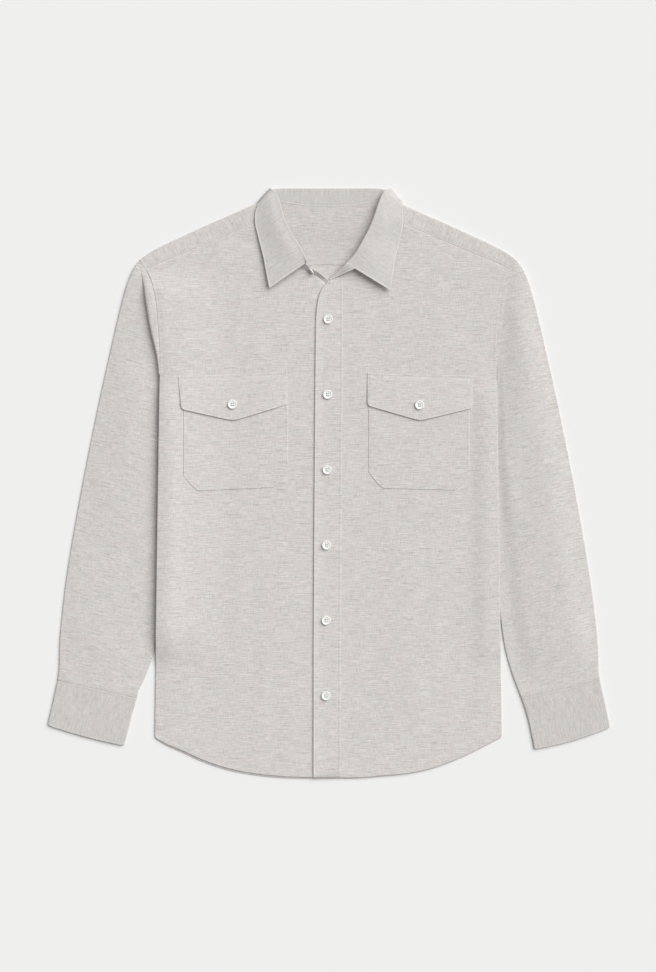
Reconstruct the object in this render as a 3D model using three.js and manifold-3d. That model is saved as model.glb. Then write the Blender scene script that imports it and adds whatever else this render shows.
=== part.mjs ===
// A long-sleeved button-front shirt, laid flat on a surface with its front up and its sleeves at its sides.
// Millimetres. X runs across the shirt, Y runs from the hem up to the collar, Z runs up from the surface.
// Every piece that a maker cuts is one wall of cloth, and pieces that are sewn together lie edge to edge.

import * as THREE from "three";
import Module from "manifold-3d";

const wasm = await Module();
wasm.setup();

// The cloth and how its layers lie on each other.
const CLOTH = 1.1;
const GAP = 0.3;
const SEAM = 0.4;
const LAYER = CLOTH + GAP;
const FLOOR = CLOTH / 2;

// The body: hem, side seams, armholes, shoulders and yoke seams.
const HEM_Y = -397;
const HEM_CORNER_Y = -344;
const HEM_HALF = 234;
const HEM_POWER = 2.6;
const UNDERARM_Y = 143;
const NECK_SIDE_X = 84.5;
const YOKE_SEAM_Y = 295;
const YOKE_SEAM_DROP = 33;
const YOKE_SEAM_HALF = 240;
const SHOULDER_FOLD = 1.1;
const LOFT = 0.8;

// Half width of the body going up the side seam and round the armhole to the shoulder point.
const BODY_EDGE = [
  { y: HEM_CORNER_Y, x: HEM_HALF },
  { y: -100, x: 230.6 },
  { y: UNDERARM_Y, x: 227 },
  { y: 175, x: 226.8 },
  { y: 205, x: 228.4 },
  { y: 246, x: 232.5 },
  { y: 276, x: 240 },
  { y: 298.7, x: 254 },
];
// The fold of the yoke along the top of the shoulder, from the neck out to the shoulder point.
const SHOULDER = [
  { x: NECK_SIDE_X, y: 380.2 },
  { x: 100, y: 373.4 },
  { x: 118, y: 365.5 },
  { x: 178, y: 339 },
  { x: 235, y: 311.8 },
  { x: 254, y: 298.7 },
];
// The seam where the yoke comes over the shoulder and joins the front.
const FRONT_YOKE_SEAM = [
  { x: 81.5, y: 359.1 },
  { x: 247, y: 288.5 },
];

const YOKE_ARMHOLE_Y = 262.6;
const FRONT_ARMHOLE_Y = FRONT_YOKE_SEAM.at(-1).y;
const SHOULDER_POINT_Y = BODY_EDGE.at(-1).y;
const YOKE_WING_COLUMNS = 6;
const YOKE_BACK_ROWS = 6;
const YOKE_FOLD_ANGLES = [30, 60, 90, 120, 150].map(THREE.MathUtils.degToRad);
const END_COLUMNS_ONLY = 6;

// The front edges, the placket and its buttons.
const RIGHT_EDGE_X = 12.4;
const LEFT_EDGE_X = RIGHT_EDGE_X - GAP;
const LEFT_NECK_Y = 248;
const RIGHT_NECK_Y = 277.4;
const PLACKET_WIDTH = 36;
const BUTTON_COUNT = 6;
const TOP_BUTTON_Y = 222;
const BUTTON_PITCH = 101.6;
const PLACKET_ROWS = 18;
const PLACKET_BEND_Y = 192;
const PLACKET_TOP_CORNER = { x: 17.6, y: 278.8 };
// The free edge of the placket, which bends over to the collar at its top.
const PLACKET_EDGE = [
  { y: HEM_Y, x: -20 },
  { y: -180, x: -19.5 },
  { y: 60, x: -18 },
  { y: PLACKET_BEND_Y, x: -16.8 },
  { y: 226, x: -16 },
  { y: 248, x: -13 },
  { y: 261, x: -8 },
  { y: 271.4, x: 1 },
];

// Buttons with four holes, a raised rim and a dished middle.
const BUTTON_RADIUS = 6.2;
const BUTTON_HEIGHT = 2.4;
const BUTTON_RIM = 1.3;
const BUTTON_DISH = 0.7;
const BUTTON_SIDES = 16;
const BUTTON_HOLE_RADIUS = 0.75;
const BUTTON_HOLE_OFFSET = 1.35;
const COLLAR_BUTTON_SCALE = 0.8;
const COLLAR_BUTTON_SHARE = 0.62;

// Patch pockets under pointed flaps, as the eye sees them from the front. Tilt lifts the end at right.
const POCKETS = [
  { name: "left", middle: -126.1, width: 140.4, bottom: -8.5, tilt: 2.6, buttonX: -128.6, buttonY: 105.2 },
  { name: "right", middle: 123.2, width: 134, bottom: -9.3, tilt: -2.2, buttonX: 123.5, buttonY: 104.4 },
];
const POCKET_TOP = 134;
const POCKET_CHAMFER_WIDTH = 18;
const POCKET_CHAMFER_HEIGHT = 21;
const FLAP_OVERHANG = 3;
const FLAP_TOP = 146;
const FLAP_SIDE_BOTTOM = 103;
const FLAP_POINT = 85;
const FLAP_CORNER = 5;
const FLAP_LIFT = 0.7;

// The collar: where it turns over at the side of the neck, and how far its roll stands up in front.
const COLLAR_TURN_HEIGHT = 3.15;
const COLLAR_LAYER = 1.5;
const COLLAR_TOP_ROLL_Y = 395.7;
const FALL_SEAM = 5;
const STAND_TURN_UP = 1.8;
const TURN_OUT = new THREE.Vector3(0.728, 0.686, 0);
// Half of the collar behind the neck, from the middle to the side of the neck.
const COLLAR_BACK = [
  { neckX: 0, neckY: 372.2, rollX: 0, edgeX: 0, edgeY: 351 },
  { neckX: 34, neckY: 373.6, rollX: 32, edgeX: 36, edgeY: 352.5 },
  { neckX: 68, neckY: 379.2, rollX: 64, edgeX: 74, edgeY: 360 },
];
const COLLAR_SIDE = { neckX: 84.3, neckY: 382, rollX: 80, rollY: 394.3, edgeX: 97.2, edgeY: 375.8 };
const COLLAR_SIDE_TURNS = [-90, -45, 0, 45, 90];
// The right of the collar in front, from the side of the neck to the end of its stand.
const COLLAR_RIGHT = [
  { neckX: 83.3, neckY: 371, rollX: 75.5, rollY: 392, edgeX: 100, edgeY: 365, rollLift: 1.6, edgeLift: 0.6 },
  { neckX: 81, neckY: 358.6, rollX: 69.8, rollY: 378, edgeX: 100.4, edgeY: 350, rollLift: 3.4, edgeLift: 0.8 },
  { neckX: 77, neckY: 340.5, rollX: 63.8, rollY: 360, edgeX: 97.5, edgeY: 333, rollLift: 4.6, edgeLift: 1 },
  { neckX: 70, neckY: 324.5, rollX: 57, rollY: 343, edgeX: 94, edgeY: 318, rollLift: 5, edgeLift: 1.2 },
  { neckX: 61, neckY: 309.5, rollX: 47.8, rollY: 325, edgeX: 90, edgeY: 303, rollLift: 5, edgeLift: 1.5 },
  { neckX: 50, neckY: 297.5, rollX: 38, rollY: 308.6, edgeX: 86.6, edgeY: 281, rollLift: 5, edgeLift: 2 },
  { neckX: 36, neckY: 288.3, rollX: 25, rollY: 294.8, edgeX: 83.2, edgeY: 259, rollLift: 4.4, edgeLift: 2.6 },
  { neckX: 22, neckY: 282, rollX: 15.6, rollY: 286, rollLift: 3.2 },
  { neckX: RIGHT_EDGE_X, neckY: 277.8, rollX: 8.2, rollY: 279.6, rollLift: 2 },
  { neckX: 2.4, neckY: 273, rollX: 1.5, rollY: 274.2, rollLift: 0.6 },
];
// The left of the collar in front. Its stand ends under the placket.
const COLLAR_LEFT = [
  { neckX: -83.3, neckY: 371, rollX: -71.5, rollY: 392, edgeX: -99, edgeY: 365, rollLift: 1.6, edgeLift: 0.6 },
  { neckX: -81, neckY: 358.6, rollX: -66, rollY: 376, edgeX: -98.6, edgeY: 350, rollLift: 3.4, edgeLift: 0.8 },
  { neckX: -77, neckY: 340.5, rollX: -60.5, rollY: 357, edgeX: -95.3, edgeY: 334.5, rollLift: 4.4, edgeLift: 1 },
  { neckX: -70, neckY: 323, rollX: -52.5, rollY: 339.5, edgeX: -91.4, edgeY: 319, rollLift: 4.8, edgeLift: 1.2 },
  { neckX: -61, neckY: 308, rollX: -44, rollY: 325, edgeX: -87.6, edgeY: 304, rollLift: 5, edgeLift: 1.5 },
  { neckX: -51, neckY: 294, rollX: -35.5, rollY: 311, edgeX: -83.6, edgeY: 283, rollLift: 5, edgeLift: 2 },
  { neckX: -41, neckY: 281.5, rollX: -29.4, rollY: 296.3, edgeX: -79.4, edgeY: 262, rollLift: 5.4, edgeLift: 2.6 },
  { neckX: -26, neckY: 269.5, rollX: -13.5, rollY: 284, rollLift: 3.6 },
  { neckX: -12, neckY: 259, rollX: 0.6, rollY: 272.2, rollLift: 0 },
  { neckX: 0, neckY: 253.4, rollX: 9.4, rollY: 264, rollLift: 0 },
];

// The right sleeve, seen from the front: its inner edge is tucked under the side of the body.
const SLEEVE_INNER = [
  { x: 227.6, y: UNDERARM_Y },
  { x: 228.8, y: 128 },
  { x: 227.8, y: 110 },
  { x: 222.4, y: 86 },
  { x: 219.5, y: 50 },
  { x: 219.5, y: 0 },
  { x: 222.4, y: -70 },
  { x: 228, y: -140 },
  { x: 236.7, y: -213 },
  { x: 245.4, y: -253 },
  { x: 259.8, y: -289.5 },
];
const SLEEVE_OUTER = [
  { x: 256, y: 301.2 },
  { x: 265, y: 286 },
  { x: 274, y: 259.6 },
  { x: 288.4, y: 205.6 },
  { x: 311.6, y: 97.6 },
  { x: 333.2, y: -10.4 },
  { x: 352, y: -118.4 },
  { x: 363.6, y: -210 },
  { x: 366.4, y: -258 },
  { x: 369.2, y: -275 },
];
const SLEEVE_STATIONS = [0.035, 0.09, 0.16, 0.24, 0.34, 0.44, 0.54, 0.64, 0.74, 0.84, 0.92, 1];
const SLEEVE_TUCK = 15;
const SLEEVE_LOFT = 2;
const HEAD_FADE_SHARE = 0.3;
const CUFF_FADE_SHARE = 0.86;
// The fold of the sleeve head that lies along the armhole seam. At left it is crisp, at right hardly raised.
const HEAD_SEAM_MARGIN = 1.2;
const HEAD_FOLD_WIDTH = 12;
const HEAD_FOLD_SLOPE = 1.8;
const LEFT_HEAD_FOLD = { rise: 1.6, drop: 1 };
const RIGHT_HEAD_FOLD = { rise: 0.3, drop: 0.3 };

// The cuff, from its seam to its edge.
const CUFF_INNER = [
  { x: 260, y: -290 },
  { x: 269.2, y: -319 },
  { x: 278.2, y: -360.4 },
];
const CUFF_OUTER = [
  { x: 369.4, y: -275.6 },
  { x: 375.6, y: -302 },
  { x: 380.7, y: -330.3 },
];
const CUFF_STATIONS = 3;
const CUFF_EDGE_BOW = 3.2;
const CUFF_HEIGHT = 2.75;

// Where the body climbs over the collar behind the neck and over the tucked edges of the sleeves.
const COLLAR_CLIMB = { lift: 1.5, fromY: 320, toY: 346, fullTo: 104, goneBy: 130 };
const SLEEVE_CLIMB = { lift: 2.8, fromX: 190, toX: 216, topFrom: 141, topTo: 106, bottomFrom: -252, bottomTo: -220 };

// The largest soft folds of the front: a line from one end to the other, its half width and its height.
const FRONT_FOLDS = [
  { fromX: -214, fromY: 150, toX: -150, toY: 190, width: 16, height: 0.7 },
  { fromX: 212, fromY: 152, toX: 140, toY: 200, width: 18, height: 0.6 },
  { fromX: -205, fromY: 80, toX: -212, toY: -140, width: 12, height: 0.5 },
  { fromX: 96, fromY: -60, toX: 120, toY: -330, width: 26, height: 0.6 },
  { fromX: -70, fromY: -90, toX: -96, toY: -350, width: 24, height: 0.5 },
  { fromX: -160, fromY: -120, toX: -176, toY: -340, width: 18, height: -0.35 },
  { fromX: 186, fromY: -80, toX: 178, toY: -330, width: 16, height: -0.35 },
  { fromX: 40, fromY: 190, toX: 60, toY: 60, width: 14, height: 0.35 },
];

const CLOTH_COLOUR = 0xd1cec9;
const SLEEVE_COLOUR = 0xcfcbc6;
const COLLAR_COLOUR = 0xcccac6;
const BUTTON_COLOUR = 0xf2f1ee;

const clamp = THREE.MathUtils.clamp;
const mix = THREE.MathUtils.lerp;
const smooth = (from, to, value) => THREE.MathUtils.smoothstep(value, from, to);

// A smooth curve through the rows of a table, as one column against another.
function through(rows, from, to) {
  const last = rows.length - 1;
  const slopes = rows.map((row, i) => {
    const before = rows[Math.max(i - 1, 0)];
    const after = rows[Math.min(i + 1, last)];
    return (after[to] - before[to]) / (after[from] - before[from]);
  });
  return (value) => {
    let i = 0;
    while (i < last - 1 && value > rows[i + 1][from]) i += 1;
    const span = rows[i + 1][from] - rows[i][from];
    const f = clamp((value - rows[i][from]) / span, 0, 1);
    const bend0 = f * (1 - f) * (1 - f) * span * slopes[i];
    const bend1 = f * f * (f - 1) * span * slopes[i + 1];
    const ease = f * f * (3 - 2 * f);
    return mix(rows[i][to], rows[i + 1][to], ease) + bend0 + bend1;
  };
}

// A smooth line on the surface through a table of places, with points by their share of its length.
function line(rows) {
  const places = rows.map((row) => new THREE.Vector3(row.x, row.y, 0));
  const curve = new THREE.CatmullRomCurve3(places, false, "centripetal");
  return (share) => curve.getPointAt(clamp(share, 0, 1));
}

const bodyEdge = through(BODY_EDGE, "y", "x");
const shoulderY = through(SHOULDER, "x", "y");
const frontYokeSeamY = through(FRONT_YOKE_SEAM, "x", "y");
const placketEdge = through(PLACKET_EDGE, "y", "x");
const hemY = (x) => HEM_Y + (HEM_CORNER_Y - HEM_Y) * (Math.abs(x) / HEM_HALF) ** HEM_POWER;
const backYokeSeamY = (x) => YOKE_SEAM_Y - YOKE_SEAM_DROP * (x / YOKE_SEAM_HALF) ** 2;

// Height of the middle of the back cloth over the surface.
function backHeight(x, y) {
  const out = Math.abs(x);
  const c = COLLAR_CLIMB;
  const s = SLEEVE_CLIMB;
  const overCollar = smooth(c.fromY, c.toY, y) * (1 - smooth(c.fullTo, c.goneBy, out));
  const overSleeve =
    smooth(s.fromX, s.toX, out) * (1 - smooth(s.topTo, s.topFrom, y)) * smooth(s.bottomFrom, s.bottomTo, y);
  return FLOOR + c.lift * overCollar + s.lift * overSleeve;
}

// Sum of the soft folds at a place on the front.
function foldHeight(x, y) {
  let height = 0;
  for (const fold of FRONT_FOLDS) {
    const length = Math.hypot(fold.toX - fold.fromX, fold.toY - fold.fromY);
    const alongX = (fold.toX - fold.fromX) / length;
    const alongY = (fold.toY - fold.fromY) / length;
    const along = (x - fold.fromX) * alongX + (y - fold.fromY) * alongY;
    const across = (x - fold.fromX) * alongY - (y - fold.fromY) * alongX;
    const start = smooth(-fold.width, fold.width, along);
    const finish = 1 - smooth(length - fold.width, length + fold.width, along);
    height += fold.height * start * finish * Math.exp(-((across / fold.width) ** 2));
  }
  return height;
}

// Height of the middle of the front cloth, which lies on the back and closes down to it at the side seams.
function frontHeight(x, y) {
  const fromSide = bodyEdge(y) - Math.abs(x);
  const open = Math.max(smooth(0, 26, fromSide), smooth(UNDERARM_Y, UNDERARM_Y + 45, y));
  return backHeight(x, y) + LAYER + open * (LOFT + foldHeight(x, y));
}

// Cloth given its thickness on both sides of a net of points, and closed along every border.
function wall(points, quads, thickness = CLOTH) {
  const normals = points.map(() => new THREE.Vector3());
  const one = new THREE.Vector3();
  const other = new THREE.Vector3();
  for (const [a, b, c, d] of quads) {
    one.subVectors(points[c], points[a]);
    other.subVectors(points[d], points[b]);
    one.cross(other);
    for (const corner of [a, b, c, d]) normals[corner].add(one);
  }
  const outer = points.map((point, i) => point.clone().addScaledVector(normals[i].normalize(), thickness / 2));
  const inner = points.map((point, i) => point.clone().addScaledVector(normals[i], -thickness / 2));
  const count = points.length;
  const triangles = [];
  const edges = new Set();
  for (const [a, b, c, d] of quads) {
    triangles.push(a, b, c, a, c, d);
    triangles.push(a + count, c + count, b + count, a + count, d + count, c + count);
    for (const [from, to] of [[a, b], [b, c], [c, d], [d, a]]) edges.add(from + "_" + to);
  }
  for (const edge of edges) {
    const [from, to] = edge.split("_").map(Number);
    if (edges.has(to + "_" + from)) continue;
    triangles.push(from, to + count, to, from, from + count, to + count);
  }
  const geometry = new THREE.BufferGeometry();
  const places = [...outer, ...inner].flatMap((point) => point.toArray());
  geometry.setAttribute("position", new THREE.Float32BufferAttribute(places, 3));
  geometry.setIndex(volumeOf(places, triangles) < 0 ? triangles.reverse() : triangles);
  return geometry;
}

// Signed volume inside a closed set of triangles, below zero when they face inwards.
function volumeOf(places, triangles) {
  const corner = (i) => new THREE.Vector3().fromArray(places, 3 * i);
  let volume = 0;
  for (let i = 0; i < triangles.length; i += 3) {
    const [a, b, c] = triangles.slice(i, i + 3).map(corner);
    volume += a.dot(b.cross(c)) / 6;
  }
  return volume;
}

// A net of rows of points: joins each row to the next, and each row's ends too when it goes round.
function net(rows, { round = false, keep = () => true } = {}) {
  const width = rows[0].length;
  const quads = [];
  for (let i = 0; i + 1 < rows.length; i += 1)
    for (let j = 0; j + 1 < width + (round ? 1 : 0); j += 1) {
      const next = (j + 1) % width;
      if (keep(i, j)) quads.push([i * width + j, i * width + next, (i + 1) * width + next, (i + 1) * width + j]);
    }
  return wall(rows.flat(), quads);
}

const steps = (count) => Array.from({ length: count + 1 }, (_, i) => i / count);

// A flat piece between four border lines, each of which runs from 0 to 1, at a height given by its place.
function panel({ across, along, bottom, top, start, finish, height }) {
  const corners = [bottom(0), bottom(1), top(0), top(1)];
  const blend = (s, t, key) =>
    mix(bottom(s)[key], top(s)[key], t) +
    mix(start(t)[key], finish(t)[key], s) -
    mix(mix(corners[0][key], corners[1][key], s), mix(corners[2][key], corners[3][key], s), t);
  return net(
    along.map((t) =>
      across.map((s) => {
        const x = blend(s, t, "x");
        const y = blend(s, t, "y");
        return new THREE.Vector3(x, y, height(x, y));
      }),
    ),
  );
}

const nodes = new THREE.Group();
function piece(name, geometry, colour, roughness = 0.9) {
  const material = new THREE.MeshStandardMaterial({ color: colour, roughness, metalness: 0 });
  const mesh = new THREE.Mesh(geometry, material);
  mesh.name = name;
  nodes.add(mesh);
  return mesh;
}

// The body's rows run level up to the underarm, then up the armhole.
const UNDERARM_ROW = 0.8;
const LOWER_ROWS = 16;
const BACK_UPPER_ROWS = 4;
const NECK_ROW_START = 4;
const lowerRows = steps(LOWER_ROWS).map((share) => share * UNDERARM_ROW);
const upperRows = (count) =>
  steps(count)
    .slice(1)
    .map((share) => UNDERARM_ROW + share * (1 - UNDERARM_ROW));
function sidePlace(t, side, topY) {
  const y =
    t <= UNDERARM_ROW
      ? mix(HEM_CORNER_Y, UNDERARM_Y, t / UNDERARM_ROW)
      : mix(UNDERARM_Y, topY, (t - UNDERARM_ROW) / (1 - UNDERARM_ROW));
  return { x: side * bodyEdge(y), y };
}

// Columns close up towards a side seam, where the cloth climbs over the sleeve.
const SIDE_COLUMNS = [40, 29, 18, 9, 0];
const sideShares = (width) => SIDE_COLUMNS.map((distance) => distance / width);

function back() {
  const width = 2 * HEM_HALF;
  const near = sideShares(width);
  const middle = steps(6)
    .slice(1, -1)
    .map((share) => mix(near[0], 1 - near[0], share));
  return panel({
    across: [...near.slice().reverse(), ...middle, ...near.map((share) => 1 - share)],
    along: [...lowerRows, ...upperRows(BACK_UPPER_ROWS)],
    bottom: (s) => ({ x: mix(-HEM_HALF, HEM_HALF, s), y: hemY(mix(-HEM_HALF, HEM_HALF, s)) }),
    top: (s) => {
      const x = mix(-1, 1, s) * bodyEdge(YOKE_ARMHOLE_Y - SEAM);
      return { x, y: backYokeSeamY(x) - SEAM };
    },
    start: (t) => sidePlace(t, -1, YOKE_ARMHOLE_Y - SEAM),
    finish: (t) => sidePlace(t, 1, YOKE_ARMHOLE_Y - SEAM),
    height: backHeight,
  });
}

// A place a little further from the middle of the neck, which is where the cut edge of the body lies.
const NECK_MIDDLE = { x: 0, y: 335 };
function outFromNeck(x, y, distance) {
  const length = Math.hypot(x - NECK_MIDDLE.x, y - NECK_MIDDLE.y);
  return {
    x: x + ((x - NECK_MIDDLE.x) / length) * distance,
    y: y + ((y - NECK_MIDDLE.y) / length) * distance,
  };
}

// A front runs from its edge under the placket to the side seam, and from the hem to the yoke.
function front(side, collarRows, edgeX, edgeTopY) {
  const necks = collarRows
    .filter((row) => side * (row.neckX - edgeX) > 1 && row.neckY < FRONT_YOKE_SEAM[0].y)
    .map((row) => outFromNeck(row.neckX, row.neckY, SEAM))
    .reverse();
  const seamStart = { x: side * FRONT_YOKE_SEAM[0].x, y: FRONT_YOKE_SEAM[0].y - SEAM };
  const neckline = [{ x: edgeX, y: edgeTopY }, ...necks.slice(0, -1), seamStart];
  const neckRows = neckline.length - 1;
  const upper = NECK_ROW_START + neckRows;
  const neckPlace = (t) => {
    if (t <= UNDERARM_ROW) return { x: edgeX, y: mix(HEM_Y, UNDERARM_Y, t / UNDERARM_ROW) };
    const row = ((t - UNDERARM_ROW) / (1 - UNDERARM_ROW)) * upper;
    if (row <= NECK_ROW_START) return { x: edgeX, y: mix(UNDERARM_Y, edgeTopY, row / NECK_ROW_START) };
    const i = Math.min(Math.floor(row - NECK_ROW_START + 1e-6), neckRows - 1);
    const f = row - NECK_ROW_START - i;
    return { x: mix(neckline[i].x, neckline[i + 1].x, f), y: mix(neckline[i].y, neckline[i + 1].y, f) };
  };
  const width = HEM_HALF - side * edgeX;
  const near = sideShares(width);
  const middle = steps(7)
    .slice(0, -1)
    .map((share) => share * (1 - near[0]));
  const topEnd = FRONT_ARMHOLE_Y - SEAM;
  return panel({
    across: [...middle, ...near.map((share) => 1 - share)],
    along: [...lowerRows, ...upperRows(upper)],
    bottom: (s) => {
      const x = mix(edgeX, side * HEM_HALF, s);
      return { x, y: hemY(x) };
    },
    top: (s) => {
      const x = mix(FRONT_YOKE_SEAM[0].x, bodyEdge(topEnd), s);
      return { x: side * x, y: frontYokeSeamY(x) - SEAM };
    },
    start: neckPlace,
    finish: (t) => sidePlace(t, side, topEnd),
    height: frontHeight,
  });
}

// The part of the yoke behind the neck and the shoulders, up to the neckline and the shoulder folds.
const yokeNeckY = through([...COLLAR_BACK, COLLAR_SIDE], "neckX", "neckY");
function yokeBehind(topX, share) {
  const shoulderEnd = SHOULDER.at(-1).x;
  const armholeEnd = bodyEdge(YOKE_ARMHOLE_Y);
  const out = Math.abs(topX);
  const topY = out < NECK_SIDE_X ? yokeNeckY(out) - SEAM : shoulderY(out);
  const bottomX = (out * armholeEnd) / shoulderEnd;
  const y = mix(backYokeSeamY(bottomX), topY, share);
  const armholeBow = bodyEdge(y) - mix(armholeEnd, shoulderEnd, share);
  const x = mix(bottomX, out, share) + armholeBow * (out / shoulderEnd) ** END_COLUMNS_ONLY;
  return new THREE.Vector3(x, y, backHeight(x, y));
}

// The fold of the yoke over a shoulder, from the back layer round to the front one.
function yokeFold(out, angle) {
  const slope = shoulderY(out + 0.5) - shoulderY(out - 0.5);
  const outwards = new THREE.Vector2(-slope, 1).normalize().multiplyScalar(SHOULDER_FOLD * Math.sin(angle));
  const z = backHeight(out, shoulderY(out)) + SHOULDER_FOLD * (1 - Math.cos(angle));
  return new THREE.Vector3(out + outwards.x, shoulderY(out) + outwards.y, z);
}

// The part of the yoke in front, from the shoulder fold down to its seam with the front.
function yokeInFront(out, share) {
  const shoulderEnd = SHOULDER.at(-1).x;
  const f = (out - NECK_SIDE_X) / (shoulderEnd - NECK_SIDE_X);
  const [neckEnd, armholeEnd] = FRONT_YOKE_SEAM.map((row) => row.x);
  const seamX = mix(neckEnd, armholeEnd, f);
  const y = mix(shoulderY(out), frontYokeSeamY(seamX), share);
  const onNeck = outFromNeck(COLLAR_RIGHT[0].neckX, COLLAR_RIGHT[0].neckY, SEAM);
  const neckBow = share === 0.5 ? onNeck.x - mix(NECK_SIDE_X, neckEnd, share) : 0;
  const armholeBow = bodyEdge(y) - mix(shoulderEnd, armholeEnd, share);
  const x = mix(out, seamX, share) + neckBow * (1 - f) ** END_COLUMNS_ONLY + armholeBow * f ** END_COLUMNS_ONLY;
  return new THREE.Vector3(x, y, share === 0 ? backHeight(x, y) + 2 * SHOULDER_FOLD : frontHeight(x, y));
}

// The yoke lies behind the neck and folds over both shoulders to the front.
function yoke() {
  const halfNeck = COLLAR_BACK.map((row) => row.neckX);
  const wing = steps(YOKE_WING_COLUMNS).map((share) => mix(NECK_SIDE_X, SHOULDER.at(-1).x, share));
  const half = [...halfNeck, ...wing];
  const columns = [...half.slice(1).reverse().map((x) => -x), ...half];
  const onWing = (j) => columns[j + 1] <= -NECK_SIDE_X || columns[j] >= NECK_SIDE_X;
  const row = (place) =>
    columns.map((column) => {
      const point = place(Math.abs(column));
      return column < 0 ? point.setX(-point.x) : point;
    });
  const overShoulder = (out) => Math.max(out, NECK_SIDE_X);
  const rows = [
    ...steps(YOKE_BACK_ROWS).map((share) => row((out) => yokeBehind(out, share))),
    ...YOKE_FOLD_ANGLES.map((angle) => row((out) => yokeFold(overShoulder(out), angle))),
    ...steps(2).map((share) => row((out) => yokeInFront(overShoulder(out), share))),
  ];
  return net(rows, { keep: (i, j) => i < YOKE_BACK_ROWS || onWing(j) });
}

// The collar's sections, from its left end in front, round behind the neck, to its right end in front.
function collarSections() {
  const inFront = (row, side) => ({ ...row, side, turn: 90, inFront: true });
  const sideTurns = (side) => COLLAR_SIDE_TURNS.map((turn) => ({ ...mirrored(COLLAR_SIDE, side), side, turn }));
  const behind = (row, side) => ({ ...mirrored(row, side), rollY: COLLAR_TOP_ROLL_Y, side, turn: -90 });
  return [
    ...COLLAR_LEFT.map((row) => inFront(row, -1)).reverse(),
    ...sideTurns(-1).reverse(),
    ...COLLAR_BACK.slice(1).map((row) => behind(row, -1)).reverse(),
    ...COLLAR_BACK.map((row) => behind(row, 1)),
    ...sideTurns(1),
    ...COLLAR_RIGHT.map((row) => inFront(row, 1)),
  ];
}
function mirrored(row, side) {
  return { ...row, neckX: side * row.neckX, rollX: side * row.rollX, edgeX: side * row.edgeX };
}

// The direction that the outside of the collar faces at a section: down behind, up in front.
function outside(section) {
  const angle = THREE.MathUtils.degToRad(section.turn);
  const flat = new THREE.Vector3(section.side * TURN_OUT.x, TURN_OUT.y, 0);
  return flat.multiplyScalar(Math.cos(angle)).add(new THREE.Vector3(0, 0, Math.sin(angle)));
}

// Neck, roll and edge of a section on the level of the stand.
function collarPlaces(section) {
  const { neckX, neckY, rollX, rollY, edgeX = 0, edgeY = 0 } = section;
  if (!section.inFront) {
    const centre = outside(section).multiplyScalar(SHOULDER_FOLD);
    const place = (x, y) => new THREE.Vector3(x, y, COLLAR_TURN_HEIGHT).add(centre);
    return { neck: place(neckX, neckY), roll: place(rollX, rollY), edge: place(edgeX, edgeY) };
  }
  const pastPlacket = section.side > 0 ? smooth(RIGHT_EDGE_X, PLACKET_TOP_CORNER.x + SEAM, neckX) : 1;
  const neckZ = frontHeight(neckX, neckY) + LAYER * (1 - pastPlacket);
  return {
    neck: new THREE.Vector3(neckX, neckY, neckZ),
    roll: new THREE.Vector3(rollX, rollY, neckZ + section.rollLift),
    edge: new THREE.Vector3(edgeX, edgeY, frontHeight(edgeX, edgeY) + section.edgeLift),
  };
}

// The stand rises from the neck seam, and where no fall hangs from it, it turns up towards its top edge.
function standPlace(section, share) {
  const { neck, roll } = collarPlaces(section);
  const free = section.edgeX === undefined;
  const top = free ? 1 : 1 - (FALL_SEAM + GAP) / neck.distanceTo(roll);
  const place = neck.clone().lerp(roll, share * top);
  if (free) place.z = mix(neck.z, roll.z, share ** STAND_TURN_UP);
  return place;
}

function collarStand() {
  return net(collarSections().map((section) => steps(3).map((share) => standPlace(section, share))));
}

// Where the collar's own button sits on the left end of the stand, and the way it faces.
function collarButtonSeat() {
  const [before, after] = COLLAR_LEFT.slice(6, 8).map((row) => ({ ...row, side: -1, turn: 90, inFront: true }));
  const at = (across, up) => standPlace(before, up).lerp(standPlace(after, up), across);
  const place = at(0.5, COLLAR_BUTTON_SHARE);
  const across = at(1, COLLAR_BUTTON_SHARE).sub(at(0, COLLAR_BUTTON_SHARE));
  const up = at(0.5, 0.95).sub(at(0.5, 0.35));
  return { place, facing: across.cross(up).normalize() };
}

function collarFall() {
  const turnAngles = [0, 45, 90, 135, 180].map(THREE.MathUtils.degToRad);
  const leafShares = [0.12, 0.32, 0.55, 0.78, 1];
  return net(
    collarSections()
      .filter((section) => section.edgeX !== undefined)
      .map((section) => {
        const { neck, roll, edge } = collarPlaces(section);
        const out = outside(section);
        const beyond = roll.clone().sub(neck).normalize();
        const half = COLLAR_LAYER / 2;
        const inside = [roll.clone().addScaledVector(beyond, -FALL_SEAM)];
        const turned = turnAngles.map((angle) =>
          roll
            .clone()
            .addScaledVector(out, half * (1 - Math.cos(angle)))
            .addScaledVector(beyond, half * Math.sin(angle)),
        );
        const leaf = leafShares.map((share) => roll.clone().lerp(edge, share).addScaledVector(out, COLLAR_LAYER));
        return [...inside, ...turned, ...leaf];
      }),
  );
}

// The stitched edge of the placket runs straight on where the free edge bends over.
const placketSeam = (y) => placketEdge(Math.min(y, PLACKET_BEND_Y)) + PLACKET_WIDTH;

// The placket lies over both front edges, and its top follows the seam of the collar.
function placket() {
  const bends = PLACKET_EDGE.filter((row) => row.y > PLACKET_BEND_Y).map((row) => row.y);
  const straight = steps(PLACKET_ROWS).map((share) => mix(HEM_Y, PLACKET_BEND_Y, share));
  return net(
    [...straight, ...bends].map((level, i) => {
      const bent = Math.max(i - PLACKET_ROWS, 0) / bends.length;
      const seamX = mix(placketSeam(level), PLACKET_TOP_CORNER.x, bent ** 3);
      const seamY = mix(level, PLACKET_TOP_CORNER.y, bent ** 2);
      return steps(4).map((share) => {
        const x = mix(placketEdge(level), seamX, share);
        const y = mix(level, seamY, share) + (i === 0 ? hemY(x) - HEM_Y : 0);
        return new THREE.Vector3(x, y, frontHeight(x, y) + LAYER);
      });
    }),
  );
}

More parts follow.
